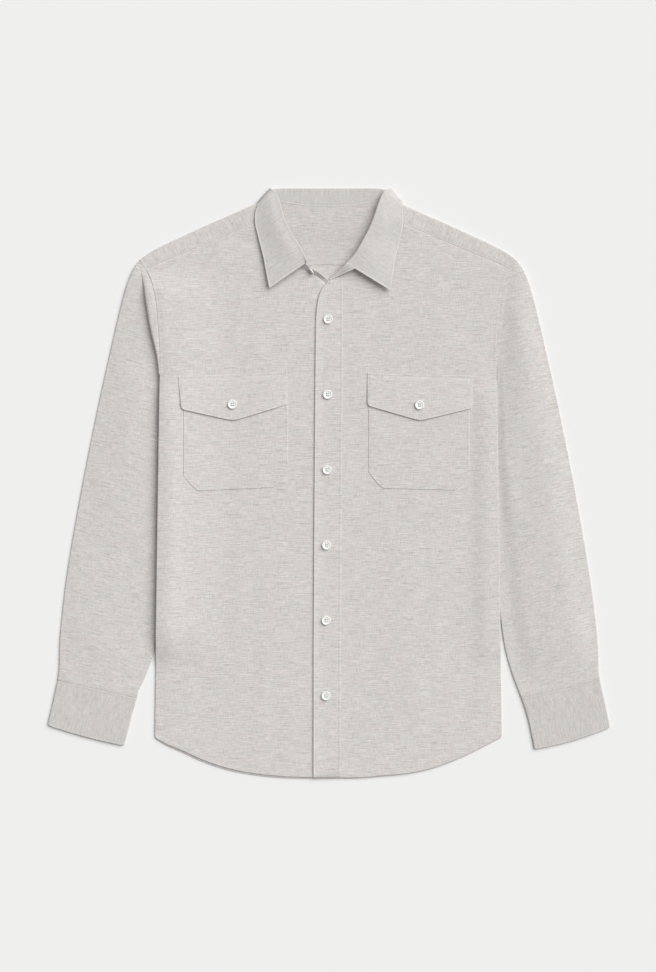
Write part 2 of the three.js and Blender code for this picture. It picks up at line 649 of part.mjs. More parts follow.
const pocketTilt = (pocket, x) => (pocket.tilt * (x - pocket.middle)) / pocket.width;

function pocketPatch(pocket) {
  const half = pocket.width / 2;
  const corner = half - POCKET_CHAMFER_WIDTH;
  const columns = [-half, -corner, -corner / 2, 0, corner / 2, corner, half];
  const bottom = (x) => pocket.bottom + (Math.abs(x) > corner + 1 ? POCKET_CHAMFER_HEIGHT : 0);
  return net(
    steps(7).map((share) =>
      columns.map((offset) => {
        const x = pocket.middle + offset;
        const y = mix(POCKET_TOP, bottom(offset), share) + pocketTilt(pocket, x);
        return new THREE.Vector3(x, y, frontHeight(x, y) + LAYER);
      }),
    ),
  );
}

function pocketFlap(pocket) {
  const half = pocket.width / 2 + FLAP_OVERHANG;
  const columns = [-half, -half + FLAP_CORNER, -half / 2, 0, half / 2, half - FLAP_CORNER, half];
  const bottom = (offset) => {
    const slope = mix(FLAP_POINT, FLAP_SIDE_BOTTOM - FLAP_CORNER, Math.abs(offset) / (half - FLAP_CORNER));
    return Math.abs(offset) > half - 1 ? FLAP_SIDE_BOTTOM + 1 : slope;
  };
  const shares = [0, 0.1, 0.24, 0.4, 0.6, 0.8, 1];
  return net(
    shares.map((share) =>
      columns.map((offset) => {
        const x = pocket.middle + offset;
        const y = mix(FLAP_TOP, bottom(offset), share) + pocketTilt(pocket, x);
        const overPocket = LAYER * (1 - smooth(POCKET_TOP + 2, FLAP_TOP - 1, y - pocketTilt(pocket, x)));
        const lift = FLAP_LIFT * share * share;
        return new THREE.Vector3(x, y, frontHeight(x, y) + LAYER + overPocket + lift);
      }),
    ),
  );
}

// A flattened tube: under side on the surface, rounded edges, and an upper side at its own height.
const UPPER_COLUMNS = 12;
const LOWER_COLUMNS = 5;
const EDGE_ANGLES = [36, 72, 108, 144].map(THREE.MathUtils.degToRad);
const EDGE_ROOM = 1.2;
function tubeRing({ place, upper }) {
  const edge = (share, inwardShare) => {
    const height = upper(share) - FLOOR;
    const here = place(share);
    const out = here.clone().sub(place(inwardShare)).normalize();
    return EDGE_ANGLES.map((angle) => {
      const reach = (height / 2) * Math.sin(angle) - height / 2;
      const point = here.clone().addScaledVector(out, reach - CLOTH / 2);
      point.z = FLOOR + (height / 2) * (1 - Math.cos(angle));
      return point;
    });
  };
  const room = (EDGE_ROOM + CLOTH / 2) / place(0).distanceTo(place(1));
  const across = (share, z) => place(mix(room, 1 - room, share)).setZ(z);
  return [
    ...steps(LOWER_COLUMNS).reverse().map((share) => across(share, FLOOR)),
    ...edge(0, 0.02),
    ...steps(UPPER_COLUMNS).map((share) => across(share, upper(share))),
    ...edge(1, 0.98).reverse(),
  ];
}

// Across a sleeve, the tucked edge stays low and the rest swells a little.
function sleeveHeight(share, width, tuck) {
  const past = clamp((share * width - tuck) / (width - tuck), 0, 1);
  return FLOOR + LAYER + LOFT * past + SLEEVE_LOFT * Math.sin(Math.PI * past);
}

// A place on the surface by its share of the way up the right armhole, and its distance out of it.
function armhole(share, away) {
  const y = mix(UNDERARM_Y, SHOULDER_POINT_Y, clamp(share, 0, 1));
  const slope = bodyEdge(y + 1) - bodyEdge(y - 1);
  const length = Math.hypot(2, slope);
  return new THREE.Vector3(bodyEdge(y) + (away * 2) / length, y - (away * slope) / length, 0);
}

// A sleeve starts at the armhole with a fold of its head, and runs down to its seam with the cuff.
function sleeve(side, fold) {
  const inner = line(SLEEVE_INNER);
  const outer = line(SLEEVE_OUTER);
  const bulge = (share) => Math.sin(Math.PI * clamp(share, 0, 1));
  const foldOut = (share) => HEAD_SEAM_MARGIN + HEAD_FOLD_WIDTH * bulge(share);
  const seamHeight = (share) => {
    const place = armhole(share, -SEAM / 2);
    return Math.max(frontHeight(place.x, place.y), FLOOR + LAYER);
  };
  const head = [
    { place: (u) => armhole(u, SEAM), upper: seamHeight },
    { place: (u) => armhole(u, foldOut(u)), upper: (u) => seamHeight(u) + fold.rise * bulge(u) },
    {
      place: (u) => armhole(u, foldOut(u) + HEAD_FOLD_SLOPE),
      upper: (u) => mix(seamHeight(u), FLOOR + LAYER, fold.drop * bulge(u)),
    },
  ];
  const rest = SLEEVE_STATIONS.map((v) => {
    const from = inner(v);
    const to = outer(v);
    const width = from.distanceTo(to);
    const likeArmhole = 1 - smooth(0, HEAD_FADE_SHARE, v);
    const likeCuff = smooth(CUFF_FADE_SHARE, 1, v);
    const straight = (u) => from.clone().lerp(to, u);
    const chord = (u) => armhole(0, 0).lerp(armhole(1, 0), u);
    return {
      place: (u) => straight(u).add(armhole(u, 0).sub(chord(u)).multiplyScalar(likeArmhole)),
      upper: (u) => mix(sleeveHeight(u, width, SLEEVE_TUCK * (1 + likeArmhole)), CUFF_HEIGHT, likeCuff),
    };
  });
  const rings = [...head, ...rest].map((station) => tubeRing(station));
  for (const point of rings.flat()) point.x *= side;
  return net(rings, { round: true });
}

function cuff(side) {
  const inner = line(CUFF_INNER);
  const outer = line(CUFF_OUTER);
  const rings = steps(CUFF_STATIONS).map((v) => {
    const from = inner(v);
    const to = outer(v);
    const down = new THREE.Vector3(to.y - from.y, from.x - to.x, 0).normalize();
    const bow = (u) => CUFF_EDGE_BOW * v * Math.sin(Math.PI * clamp(u, 0, 1));
    const place = (u) => from.clone().lerp(to, u).addScaledVector(down, bow(u));
    return tubeRing({ place, upper: () => CUFF_HEIGHT });
  });
  for (const point of rings.flat()) point.x *= side;
  return net(rings, { round: true });
}

// A solid for joining and cutting, from a closed geometry.
function solidOf(geometry) {
  const places = new Map();
  const shared = [];
  const corners = [];
  const from = geometry.index ? geometry.toNonIndexed() : geometry;
  const position = from.getAttribute("position");
  for (let i = 0; i < position.count; i += 1) {
    const place = [position.getX(i), position.getY(i), position.getZ(i)];
    const key = place.map((value) => Math.round(value * 1e4)).join("_");
    if (!places.has(key)) {
      places.set(key, places.size);
      shared.push(...place);
    }
    corners.push(places.get(key));
  }
  return new wasm.Manifold(
    new wasm.Mesh({ numProp: 3, vertProperties: new Float32Array(shared), triVerts: new Uint32Array(corners) }),
  );
}

function buttonGeometry() {
  const r = BUTTON_RADIUS;
  const profile = [
    [0, 0],
    [r - 1, 0],
    [r, 0.9],
    [r - 0.3, BUTTON_HEIGHT],
    [r - BUTTON_RIM, BUTTON_HEIGHT],
    [r - BUTTON_RIM - 1, BUTTON_HEIGHT - BUTTON_DISH],
    [0, BUTTON_HEIGHT - BUTTON_DISH],
  ].map(([radius, height]) => new THREE.Vector2(radius, height));
  let button = solidOf(new THREE.LatheGeometry(profile, BUTTON_SIDES).rotateX(Math.PI / 2));
  for (const across of [-1, 1])
    for (const along of [-1, 1]) {
      const hole = new THREE.CylinderGeometry(BUTTON_HOLE_RADIUS, BUTTON_HOLE_RADIUS, 3 * BUTTON_HEIGHT, 5);
      hole.rotateX(Math.PI / 2).translate(across * BUTTON_HOLE_OFFSET, along * BUTTON_HOLE_OFFSET, 0);
      button = button.subtract(solidOf(hole));
    }
  const mesh = button.getMesh();
  const geometry = new THREE.BufferGeometry();
  geometry.setAttribute("position", new THREE.BufferAttribute(mesh.vertProperties, 3));
  geometry.setIndex([...mesh.triVerts]);
  return geometry;
}

piece("back", back(), CLOTH_COLOUR);
piece("yoke", yoke(), CLOTH_COLOUR);
piece("front_left", front(-1, COLLAR_LEFT, LEFT_EDGE_X, LEFT_NECK_Y), CLOTH_COLOUR);
piece("front_right", front(1, COLLAR_RIGHT, RIGHT_EDGE_X, RIGHT_NECK_Y), CLOTH_COLOUR);
piece("placket", placket(), CLOTH_COLOUR);
piece("collar_stand", collarStand(), COLLAR_COLOUR);
piece("collar_fall", collarFall(), COLLAR_COLOUR);
piece("sleeve_left", sleeve(-1, LEFT_HEAD_FOLD), SLEEVE_COLOUR);
piece("sleeve_right", sleeve(1, RIGHT_HEAD_FOLD), SLEEVE_COLOUR);
piece("cuff_left", cuff(-1), SLEEVE_COLOUR);
piece("cuff_right", cuff(1), SLEEVE_COLOUR);
for (const pocket of POCKETS) {
  piece("pocket_" + pocket.name, pocketPatch(pocket), CLOTH_COLOUR);
  piece("pocket_flap_" + pocket.name, pocketFlap(pocket), CLOTH_COLOUR);
}

const button = buttonGeometry();
const ON_TOP = CLOTH / 2 + GAP;
for (let i = 0; i < BUTTON_COUNT; i += 1) {
  const y = TOP_BUTTON_Y - i * BUTTON_PITCH;
  const x = placketSeam(y) - PLACKET_WIDTH / 2;
  const mesh = piece("placket_button_" + (i + 1), button, BUTTON_COLOUR, 0.3);
  mesh.position.set(x, y, frontHeight(x, y) + LAYER + ON_TOP);
}
for (const pocket of POCKETS) {
  const { buttonX: x, buttonY: y } = pocket;
  const mesh = piece("flap_button_" + pocket.name, button, BUTTON_COLOUR, 0.3);
  mesh.position.set(x, y, frontHeight(x, y) + 2 * LAYER + FLAP_LIFT + ON_TOP);
}

const seat = collarButtonSeat();
const collarButton = piece("collar_button", button, BUTTON_COLOUR, 0.3);
collarButton.scale.setScalar(COLLAR_BUTTON_SCALE);
collarButton.quaternion.setFromUnitVectors(new THREE.Vector3(0, 0, 1), seat.facing);
collarButton.position.copy(seat.place).addScaledVector(seat.facing, ON_TOP + GAP);

export default nodes;
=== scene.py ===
import math

import bpy
import numpy as np
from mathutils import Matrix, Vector


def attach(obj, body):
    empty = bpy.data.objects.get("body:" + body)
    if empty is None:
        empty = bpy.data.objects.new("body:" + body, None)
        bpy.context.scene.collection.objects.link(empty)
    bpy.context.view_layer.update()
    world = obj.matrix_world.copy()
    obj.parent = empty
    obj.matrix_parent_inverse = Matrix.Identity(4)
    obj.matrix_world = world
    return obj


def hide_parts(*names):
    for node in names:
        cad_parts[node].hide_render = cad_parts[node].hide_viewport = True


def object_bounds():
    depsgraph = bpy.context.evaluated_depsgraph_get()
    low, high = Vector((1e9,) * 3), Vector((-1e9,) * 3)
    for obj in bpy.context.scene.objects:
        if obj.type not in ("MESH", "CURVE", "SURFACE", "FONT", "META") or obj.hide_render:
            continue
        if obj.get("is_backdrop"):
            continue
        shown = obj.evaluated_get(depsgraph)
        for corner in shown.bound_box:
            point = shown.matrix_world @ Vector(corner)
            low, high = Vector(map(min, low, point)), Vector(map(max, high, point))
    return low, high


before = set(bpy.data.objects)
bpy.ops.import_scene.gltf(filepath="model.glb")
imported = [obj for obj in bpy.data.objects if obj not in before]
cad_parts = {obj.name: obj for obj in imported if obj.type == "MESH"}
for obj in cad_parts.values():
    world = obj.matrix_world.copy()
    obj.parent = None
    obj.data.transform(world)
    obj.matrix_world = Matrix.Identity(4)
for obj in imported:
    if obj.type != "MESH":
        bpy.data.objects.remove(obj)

cad_low, cad_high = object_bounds()

# Camera, light and floor. The camera looks straight down on the shirt, the floor is a plain pale sheet,
# and a wide soft lamp at the upper right throws short soft shadows to the left and a little down.
MM = 0.001
MM_PER_PIXEL = 1.35
PHOTO_HEIGHT = 972 * MM_PER_PIXEL * MM
SHIRT_LEVEL = 0.003
LENS = 100
SENSOR = 36
scene = bpy.context.scene
camera_data = bpy.data.cameras.new("camera")
camera_data.lens = LENS
camera_data.sensor_width = SENSOR
camera = bpy.data.objects.new("camera", camera_data)
camera.location = (-0.0004, -0.005, LENS / SENSOR * PHOTO_HEIGHT + SHIRT_LEVEL)
scene.collection.objects.link(camera)
scene.camera = camera
scene.view_settings.view_transform = "Standard"
scene.view_settings.look = "None"

LAMP_SHARE = 0.66
LAMP_HEIGHT = math.radians(46)
LAMP_TURN = math.radians(42)
LAMP_WIDTH = math.radians(55)
lamp_data = bpy.data.lights.new("soft_lamp", "SUN")
lamp_data.energy = LAMP_SHARE * math.pi / math.sin(LAMP_HEIGHT)
lamp_data.angle = LAMP_WIDTH
lamp_data.color = (1.0, 0.995, 0.985)
lamp = bpy.data.objects.new("soft_lamp", lamp_data)
lamp_from = Vector((
    math.cos(LAMP_TURN) * math.cos(LAMP_HEIGHT),
    math.sin(LAMP_TURN) * math.cos(LAMP_HEIGHT),
    math.sin(LAMP_HEIGHT),
))
lamp.rotation_euler = lamp_from.to_track_quat("Z", "Y").to_euler()
scene.collection.objects.link(lamp)

world = bpy.data.worlds.new("studio")
world.use_nodes = True
sky = world.node_tree.nodes["Background"]
sky.inputs["Color"].default_value = (0.99, 0.995, 1.0, 1.0)
sky.inputs["Strength"].default_value = 1 - LAMP_SHARE
scene.world = world

FLOOR_SIDE = 8.0
FLOOR_LEVEL = -0.0001
FLOOR_GREY = 0.868
floor_mesh = bpy.data.meshes.new("floor")
floor_mesh.from_pydata(
    [(x * FLOOR_SIDE / 2, y * FLOOR_SIDE / 2, FLOOR_LEVEL) for x, y in ((-1, -1), (1, -1), (1, 1), (-1, 1))],
    [],
    [(0, 1, 2, 3)],
)
floor = bpy.data.objects.new("floor", floor_mesh)
scene.collection.objects.link(floor)
floor_paper = bpy.data.materials.new("floor_paper")
floor_paper.use_nodes = True
floor_shader = floor_paper.node_tree.nodes["Principled BSDF"]
floor_shader.inputs["Base Color"].default_value = (FLOOR_GREY, FLOOR_GREY, FLOOR_GREY, 1)
floor_shader.inputs["Roughness"].default_value = 1.0
floor_shader.inputs["Specular IOR Level"].default_value = 0.0
floor_mesh.materials.append(floor_paper)
floor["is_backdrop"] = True


# Back. One panel of slub-woven shirting from the back yoke seam to the curved hem, cut on the straight
# grain, with a narrow double-folded hem. It lies flat on the surface and carries all the rest.
# Thickness of the cloth, from the middle of one layer to the next, how much air the fronts hold, and the gap
# between pieces that are sewn side by side. All lengths are in mm, and FLOOR is the middle of the lowest layer.
CLOTH = 1.1
LAYER = 1.4
LOFT = 0.8
SEAM = 0.4
FLOOR = CLOTH / 2
HEM_Y, HEM_CORNER_Y, HEM_HALF = -399.9, -342, 234
HEM_CORNER_WIDTH, HEM_CORNER_DEPTH = 3, 2.6
UNDERARM_Y = 143
YOKE_SEAM_Y, YOKE_SEAM_DROP, YOKE_SEAM_HALF = 295, 33, 240
YOKE_ARMHOLE_Y = 262.6


def smooth(low, high, value):
    f = np.clip((value - low) / (high - low), 0, 1)
    return f * f * (3 - 2 * f)


def mix(a, b, share):
    return a + (b - a) * share


def through(table):
    """A smooth curve through rows of (at, value)."""
    at, value = np.array(table, float).T
    slope = np.gradient(value, at) if len(at) < 3 else np.concatenate([
        [(value[1] - value[0]) / (at[1] - at[0])],
        (value[2:] - value[:-2]) / (at[2:] - at[:-2]),
        [(value[-1] - value[-2]) / (at[-1] - at[-2])],
    ])

    def curve(x):
        i = np.clip(np.searchsorted(at, x) - 1, 0, len(at) - 2)
        span = at[i + 1] - at[i]
        f = np.clip((x - at[i]) / span, 0, 1)
        bends = f * (1 - f) ** 2 * span * slope[i] + f * f * (f - 1) * span * slope[i + 1]
        return mix(value[i], value[i + 1], f * f * (3 - 2 * f)) + bends

    return curve


# Half width of the body (y, x) up the side seam and round the armhole.
body_edge = through([
    (HEM_CORNER_Y, HEM_HALF), (-100, 230.6), (UNDERARM_Y, 227), (175, 226.8),
    (205, 228.4), (246, 232.5), (276, 240), (298.7, 254),
])


# The hem (x, y), and how far that of the fronts lies above it (x, y).
hem_curve = through([
    (-234, -346), (-217, -356), (-201, -362.8), (-169, -377.4), (-136, -388.4), (-104, -394.8), (-71, -398.4),
    (-39, -399.8), (0, -399.9), (42, -399.4), (74, -396.6), (107, -393.4), (139, -386.6), (172, -374.6), (204, -359.5),
    (234, -344.2),
])
front_peek = through([(-234, 1.6), (-205, 2.7), (-110, 2.8), (-13, 1.9), (60, 1.1), (234, 0.8)])


def hem_y(x):
    corner = np.clip((np.abs(x) - HEM_HALF + HEM_CORNER_WIDTH) / HEM_CORNER_WIDTH, 0, 1)
    return hem_curve(x) + HEM_CORNER_DEPTH * (1 - np.sqrt(1 - corner ** 2))


def front_hem_y(x):
    return hem_y(x) + front_peek(x)


def back_seam_y(x):
    return YOKE_SEAM_Y - YOKE_SEAM_DROP * (x / YOKE_SEAM_HALF) ** 2


# How high the left edge of the body stands, from how far in, and how far it turns down again at its end.
EDGE_LIFT, EDGE_LIFT_REACH = 8.3, 100
EDGE_TURN, EDGE_TURN_REACH = 0.6, 9


def edge_lift(x, y):
    away = body_edge(y) - np.abs(x)
    lift = EDGE_LIFT * (1 - smooth(0, EDGE_LIFT_REACH, away)) - EDGE_TURN * (1 - smooth(0, EDGE_TURN_REACH, away))
    return np.where(x < 0, lift, 0)


def back_height(x, y):
    """Middle of the back cloth, which climbs over the collar behind the neck and over the tucked sleeves."""
    out = np.abs(x)
    over_collar = smooth(320, 346, y) * (1 - smooth(104, 130, out))
    over_sleeve = smooth(190, 216, out) * (1 - smooth(106, 141, y)) * smooth(-252, -220, y)
    lifted = edge_lift(x, y) * (1 - smooth(116, 150, y)) * smooth(-252, -196, y)
    return FLOOR + 1.5 * over_collar + 2.8 * over_sleeve + lifted


def crease_height(table, x, y):
    """Sum of soft creases: from x, from y, to x, to y, half width, height, all in mm."""
    total = np.zeros(np.broadcast(x, y).shape)
    for x0, y0, x1, y1, width, height in table:
        length = math.hypot(x1 - x0, y1 - y0)
        ax, ay = (x1 - x0) / length, (y1 - y0) / length
        along = (x - x0) * ax + (y - y0) * ay
        across = (x - x0) * ay - (y - y0) * ax
        bend = across + width * 0.35 * np.sin(along / length * 5.1 + x0)
        ends = smooth(-width, width, along) * (1 - smooth(length - width, length + width, along))
        total = total + height * ends * np.exp(-((bend / width) ** 2))
    return total


def cloth_finish(name, colour, drift=0.0, unevenness=1.0):
    """Slub weave: uneven weft streaks over fine warp threads, with faint warm and cool areas, and a painted highlight
    that pales the cloth along the edges of pieces.
    It is laid out by the UV map 'cut', which holds each point's place on the flat cloth in metres."""
    material = bpy.data.materials.new(name)
    material.use_nodes = True
    tree = material.node_tree
    shader = tree.nodes["Principled BSDF"]

    def make(kind, settings, sockets):
        node = tree.nodes.new("ShaderNode" + kind)
        for key, value in settings.items():
            setattr(node, key, value)
        for key, value in sockets.items():
            if isinstance(value, bpy.types.NodeSocket):
                tree.links.new(value, node.inputs[key])
            else:
                node.inputs[key].default_value = value
        return node

    def sums(operation, a, b):
        return make("Math", {"operation": operation}, {0: a, 1: b}).outputs[0]

    cut = make("UVMap", {"uv_map": "cut"}, {}).outputs[0]
    drifted = make("Mapping", {}, {"Vector": cut, "Location": (drift, drift / 3, 0)}).outputs[0]

    def threads(along, across, seed, detail=1.0):
        """Noise drawn out to streaks of that length and width in mm, as a value round zero."""
        scaled = make("Mapping", {}, {
            "Vector": drifted,
            "Location": (seed, seed * 1.7, 0),
            "Scale": (1000 / along, 1000 / across, 1),
        })
        sockets = {"Vector": scaled.outputs[0], "Scale": 1.0, "Detail": detail}
        noise = make("TexNoise", {"noise_dimensions": "2D"}, sockets)
        return sums("SUBTRACT", noise.outputs[0], 0.5)

    def beyond(value, low, high):
        """How far a thread stands out, from 0 below low to 1 above high."""
        return make("MapRange", {"interpolation_type": "SMOOTHSTEP"}, {0: value, 1: low, 2: high}).outputs[0]

    def shade(red, green, blue):
        return tuple(min(1.0, c * f) for c, f in zip(colour, (red, green, blue))) + (1,)

    weft = threads(24, 1.1, 3.1)
    fine_weft = threads(8, 0.95, 11.7)
    warp = threads(1.1, 9, 23.9)
    slub = beyond(threads(34, 1.3, 41.3), 0.12, 0.26)
    pale_slub = beyond(threads(26, 1.3, 57.7), 0.14, 0.27)
    warp_slub = beyond(threads(1.3, 16, 71.3), 0.15, 0.28)
    cloud = threads(60, 42, 83.9, 2.0)

    tone = sums("MULTIPLY", weft, 0.32 * unevenness)
    for part, weight in ((fine_weft, 0.37), (warp, 0.25), (slub, -0.13), (pale_slub, 0.09), (warp_slub, -0.09),
                         (cloud, 0.03)):
        tone = sums("ADD", tone, sums("MULTIPLY", part, weight * unevenness))
    tone = sums("ADD", tone, 1.0)

    warm, cool, pale = shade(1.012, 0.994, 0.99), shade(0.985, 1.003, 1.0), shade(1.25, 1.25, 1.25)
    hue = sums("ADD", sums("MULTIPLY", threads(17, 13, 97.1, 2.0), 3.0), 0.5)
    tint = make("MixRGB", {"use_clamp": True}, {"Fac": hue, "Color1": cool, "Color2": warm}).outputs[0]
    body = make("VectorMath", {"operation": "SCALE"}, {0: tint, "Scale": tone}).outputs[0]
    # Painted highlight: where the per-point attribute says, along the edges of pieces, the cloth is paled towards a
    # lighter tone that stands in for light caught by the edges.
    edge_highlight = make("Attribute", {"attribute_name": "edge_highlight"}, {}).outputs["Fac"]
    edged = make("MixRGB", {}, {"Fac": sums("MULTIPLY", edge_highlight, 0.6), "Color1": body, "Color2": pale})
    tree.links.new(edged.outputs[0], shader.inputs["Base Color"])

    relief = sums("MULTIPLY", weft, 0.5)
    for part, weight in ((fine_weft, 0.4), (warp, 0.4), (slub, 0.5)):
        relief = sums("ADD", relief, sums("MULTIPLY", part, weight))
    bump = make("Bump", {}, {"Height": relief, "Strength": 0.22, "Distance": 0.0003})
    tree.links.new(bump.outputs[0], shader.inputs["Normal"])
    shader.inputs["Roughness"].default_value = 0.92
    shader.inputs["Specular IOR Level"].default_value = 0.15
    shader.inputs["Sheen Weight"].default_value = 0.08
    shader.inputs["Sheen Roughness"].default_value = 0.5
    return material


def unit(vectors):
    return vectors / np.maximum(np.linalg.norm(vectors, axis=-1, keepdims=True), 1e-9)


def add_piece(name, mesh, finish):
    """A smooth-shaded object with that mesh and material, which moves with the shirt."""
    mesh.polygons.foreach_set("use_smooth", np.ones(len(mesh.polygons), bool))
    mesh.materials.append(finish)
    piece = bpy.data.objects.new(name, mesh)
    scene.collection.objects.link(piece)
    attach(piece, "root")
    return piece


def lay_out(mesh, places):
    """Give a mesh the UV map 'cut' from the place of each face corner on the flat cloth, in metres."""
    mesh.uv_layers.new(name="cut")
    mesh.uv_layers["cut"].uv.foreach_set("vector", places.astype(np.float32).ravel())


def shell(name, grid, cut, edge_highlight, finish, keep=None, closed=False):
    """One layer of cloth on a grid of points in mm, with a rounded rim. cut is each point's place on the
    flat cloth, and the grid after it says how much painted highlight pales each point near the cloth's edges. A closed
    grid's first and last columns coincide."""
    rows, columns = grid.shape[:2]
    points = grid.reshape(-1, 3)
    count = len(points)
    index = np.arange(count).reshape(rows, columns)
    quads = np.stack([index[:-1, :-1], index[:-1, 1:], index[1:, 1:], index[1:, :-1]], axis=-1)
    quads = quads[keep] if keep is not None else quads.reshape(-1, 4)
    facing = np.cross(points[quads[:, 2]] - points[quads[:, 0]], points[quads[:, 3]] - points[quads[:, 1]])
    normals = np.zeros_like(points)
    for corner in quads.T:
        np.add.at(normals, corner, facing)
    if closed:
        both = normals[index[:, 0]] + normals[index[:, -1]]
        normals[index[:, 0]] = normals[index[:, -1]] = both
    normals = unit(normals)

    edges = np.concatenate([quads[:, [k, (k + 1) % 4]] for k in range(4)])
    rim = edges[~np.isin(edges[:, 0] * count + edges[:, 1], edges[:, 1] * count + edges[:, 0])]
    if closed:
        column = rim % columns
        rim = rim[~((column == 0).all(axis=1) | (column == columns - 1).all(axis=1))]
    outwards = np.zeros_like(points)
    for a in (0, 1):
        np.add.at(outwards, rim[:, a], unit(np.cross(points[rim[:, 1]] - points[rim[:, 0]], normals[rim[:, a]])))
    outwards = unit(outwards)

    half = CLOTH / 2
    places = np.concatenate([points + normals * half, points - normals * half, points + outwards * half * 0.9])
    a, b = rim.T
    faces = np.concatenate([
        quads,
        quads[:, ::-1] + count,
        np.stack([b, a, a + 2 * count, b + 2 * count], axis=1),
        np.stack([b + 2 * count, a + 2 * count, a + count, b + count], axis=1),
    ])
    laid_out = cut.reshape(-1, 2)[faces.ravel() % count] * MM
    if closed:
        faces = faces - (columns - 1) * (faces % columns == columns - 1)
    used, faces = np.unique(faces, return_inverse=True)
    faces = faces.reshape(-1, 4)
    mesh = bpy.data.meshes.new(name)
    mesh.from_pydata((places[used] * MM).tolist(), [], faces.tolist())
    lay_out(mesh, laid_out)
    # The painted highlight along the edges goes to the material as a per-point attribute.
    mesh.attributes.new("edge_highlight", "FLOAT", "POINT")
    mesh.attributes["edge_highlight"].data.foreach_set("value", edge_highlight.reshape(-1)[used % count].astype(np.float32))
    return add_piece(name, mesh, finish)


def reach_along(path):
    """Distance of each point of a path from its start."""
    return np.insert(np.cumsum(np.linalg.norm(np.diff(path, axis=0), axis=1)), 0, 0)


def run(grid, axis):
    """Distance in mm from the first point of each row (axis 1) or column (axis 0) of a grid."""
    step = np.linalg.norm(np.diff(grid[..., :2], axis=axis), axis=-1)
    return np.insert(np.cumsum(step, axis=axis), 0, 0, axis=axis)


def to_edges(grid):
    """Distance of each point from the four borders: first row, last row, first column, last column."""
    down, along = run(grid, 0), run(grid, 1)
    return down, down[-1:] - down, along, along[:, -1:] - along


def topstitched(distance, line, ridge=0.12, groove=0.14):
    """A sewn edge: the turned-in allowance stands up to the line of stitches, which lies in a groove."""
    allowance = 1 - smooth(line - 1.2, line + 0.6, distance)
    return ridge * allowance - groove * np.exp(-(((distance - line) / 0.8) ** 2))


# Falloff of the painted highlight from an edge, mostly gone 2 mm in.
def highlight_falloff(distance):
    return np.exp(-((distance / 1.1) ** 2))


def inset(grid, border, distance):
    """Path on top of a grid of cloth, a distance in mm inside its border: first or last row or column."""
    lines = {"first_row": grid, "last_row": grid[::-1],
             "first_column": grid.swapaxes(0, 1), "last_column": grid.swapaxes(0, 1)[::-1]}[border]
    away = run(lines, 0)
    path = np.array([
        [np.interp(distance, away[:, c], lines[:, c, k]) for k in range(3)] for c in range(lines.shape[1])
    ])
    reach = reach_along(path)
    inside = (reach >= distance * 0.9) & (reach <= reach[-1] - distance * 0.9)
    return path[inside] + np.array([0, 0, CLOTH / 2])


NEAR_EDGE = [0, 0.7, 1.4, 2.1, 2.8, 3.6, 4.6, 6, 8, 11]


def shares(length, step=6.0, start=True, finish=True):
    """Shares of a length in mm, close together near its sewn ends."""
    first = NEAR_EDGE if start else [0]
    last = [length - d for d in reversed(NEAR_EDGE)] if finish else [length]
    middle = np.linspace(first[-1], last[0], max(2, round((last[0] - first[-1]) / step) + 1))[1:-1]
    return np.concatenate([first, middle, last]) / length


def panel(across, along, bottom, top, start, finish):
    """Plan of a flat piece between four border lines that each run from 0 to 1."""
    s, t = np.meshgrid(across, along)
    corners = [np.array(line(np.float64(end))) for line in (bottom, top) for end in (0, 1)]
    x, y = (
        mix(bottom(s)[k], top(s)[k], t) + mix(start(t)[k], finish(t)[k], s)
        - mix(mix(corners[0][k], corners[1][k], s), mix(corners[2][k], corners[3][k], s), t)
        for k in (0, 1)
    )
    return np.stack([x, y, np.zeros_like(x)], axis=-1)


UNDERARM_SHARE = 0.8


def side_line(side, top_y, hem=hem_y):
    def place(t):
        lower = mix(hem(side * HEM_HALF), UNDERARM_Y, t / UNDERARM_SHARE)
        upper = mix(UNDERARM_Y, top_y, (t - UNDERARM_SHARE) / (1 - UNDERARM_SHARE))
        y = np.where(t <= UNDERARM_SHARE, lower, upper)
        return side * body_edge(y), y

    return place


STITCH_PITCH = 3.0
STITCH_LENGTH = 2.1
STITCH_RADIUS = 0.22
# Rings along a stitch: share of its length, share of its radius, height.
STITCH_FORM = ((0, 0.35, -0.1), (0.25, 1, 0.06), (0.75, 1, 0.06), (1, 0.35, -0.1))
thread_finish = cloth_finish("sewing_thread", (0.66, 0.64, 0.618))


def ring_faces(rings, sides, base=0):
    """Faces between rings of points with that many sides each."""
    return [
        (base + r * sides + k, base + r * sides + (k + 1) % sides,
         base + (r + 1) * sides + (k + 1) % sides, base + (r + 1) * sides + k)
        for r in range(rings - 1) for k in range(sides)
    ]


def stitches(name, paths):
    """Lines of separate stitches along paths of points in mm that lie on the cloth."""
    starts, ends = [], []
    for path in paths:
        path = np.asarray(path, float)
        reach = reach_along(path)
        at = np.arange(STITCH_PITCH / 2, reach[-1] - STITCH_LENGTH, STITCH_PITCH)
        for found, places in ((starts, at), (ends, at + STITCH_LENGTH)):
            found.append(np.stack([np.interp(places, reach, path[:, k]) for k in range(3)], axis=1))
    start, end = np.concatenate(starts), np.concatenate(ends)
    along = unit(end - start)
    side = unit(np.cross(along, [0, 0, 1]))
    up = np.cross(side, along)
    sides = 6
    rings = []
    for share, radius, lift in STITCH_FORM:
        centre = mix(start, end, share) + up * lift
        for k in range(sides):
            angle = 2 * math.pi * k / sides
            rings.append(centre + STITCH_RADIUS * radius * (math.cos(angle) * side + math.sin(angle) * up))
    places = np.stack(rings, axis=1)
    one = np.array(ring_faces(len(STITCH_FORM), sides))
    faces = (one[None] + np.arange(len(places))[:, None, None] * places.shape[1]).reshape(-1, 4)
    points = places.reshape(-1, 3) * MM
    mesh = bpy.data.meshes.new(name)
    mesh.from_pydata(points.tolist(), [], faces.tolist())
    lay_out(mesh, points[faces.ravel()][:, :2])
    add_piece(name, mesh, thread_finish)


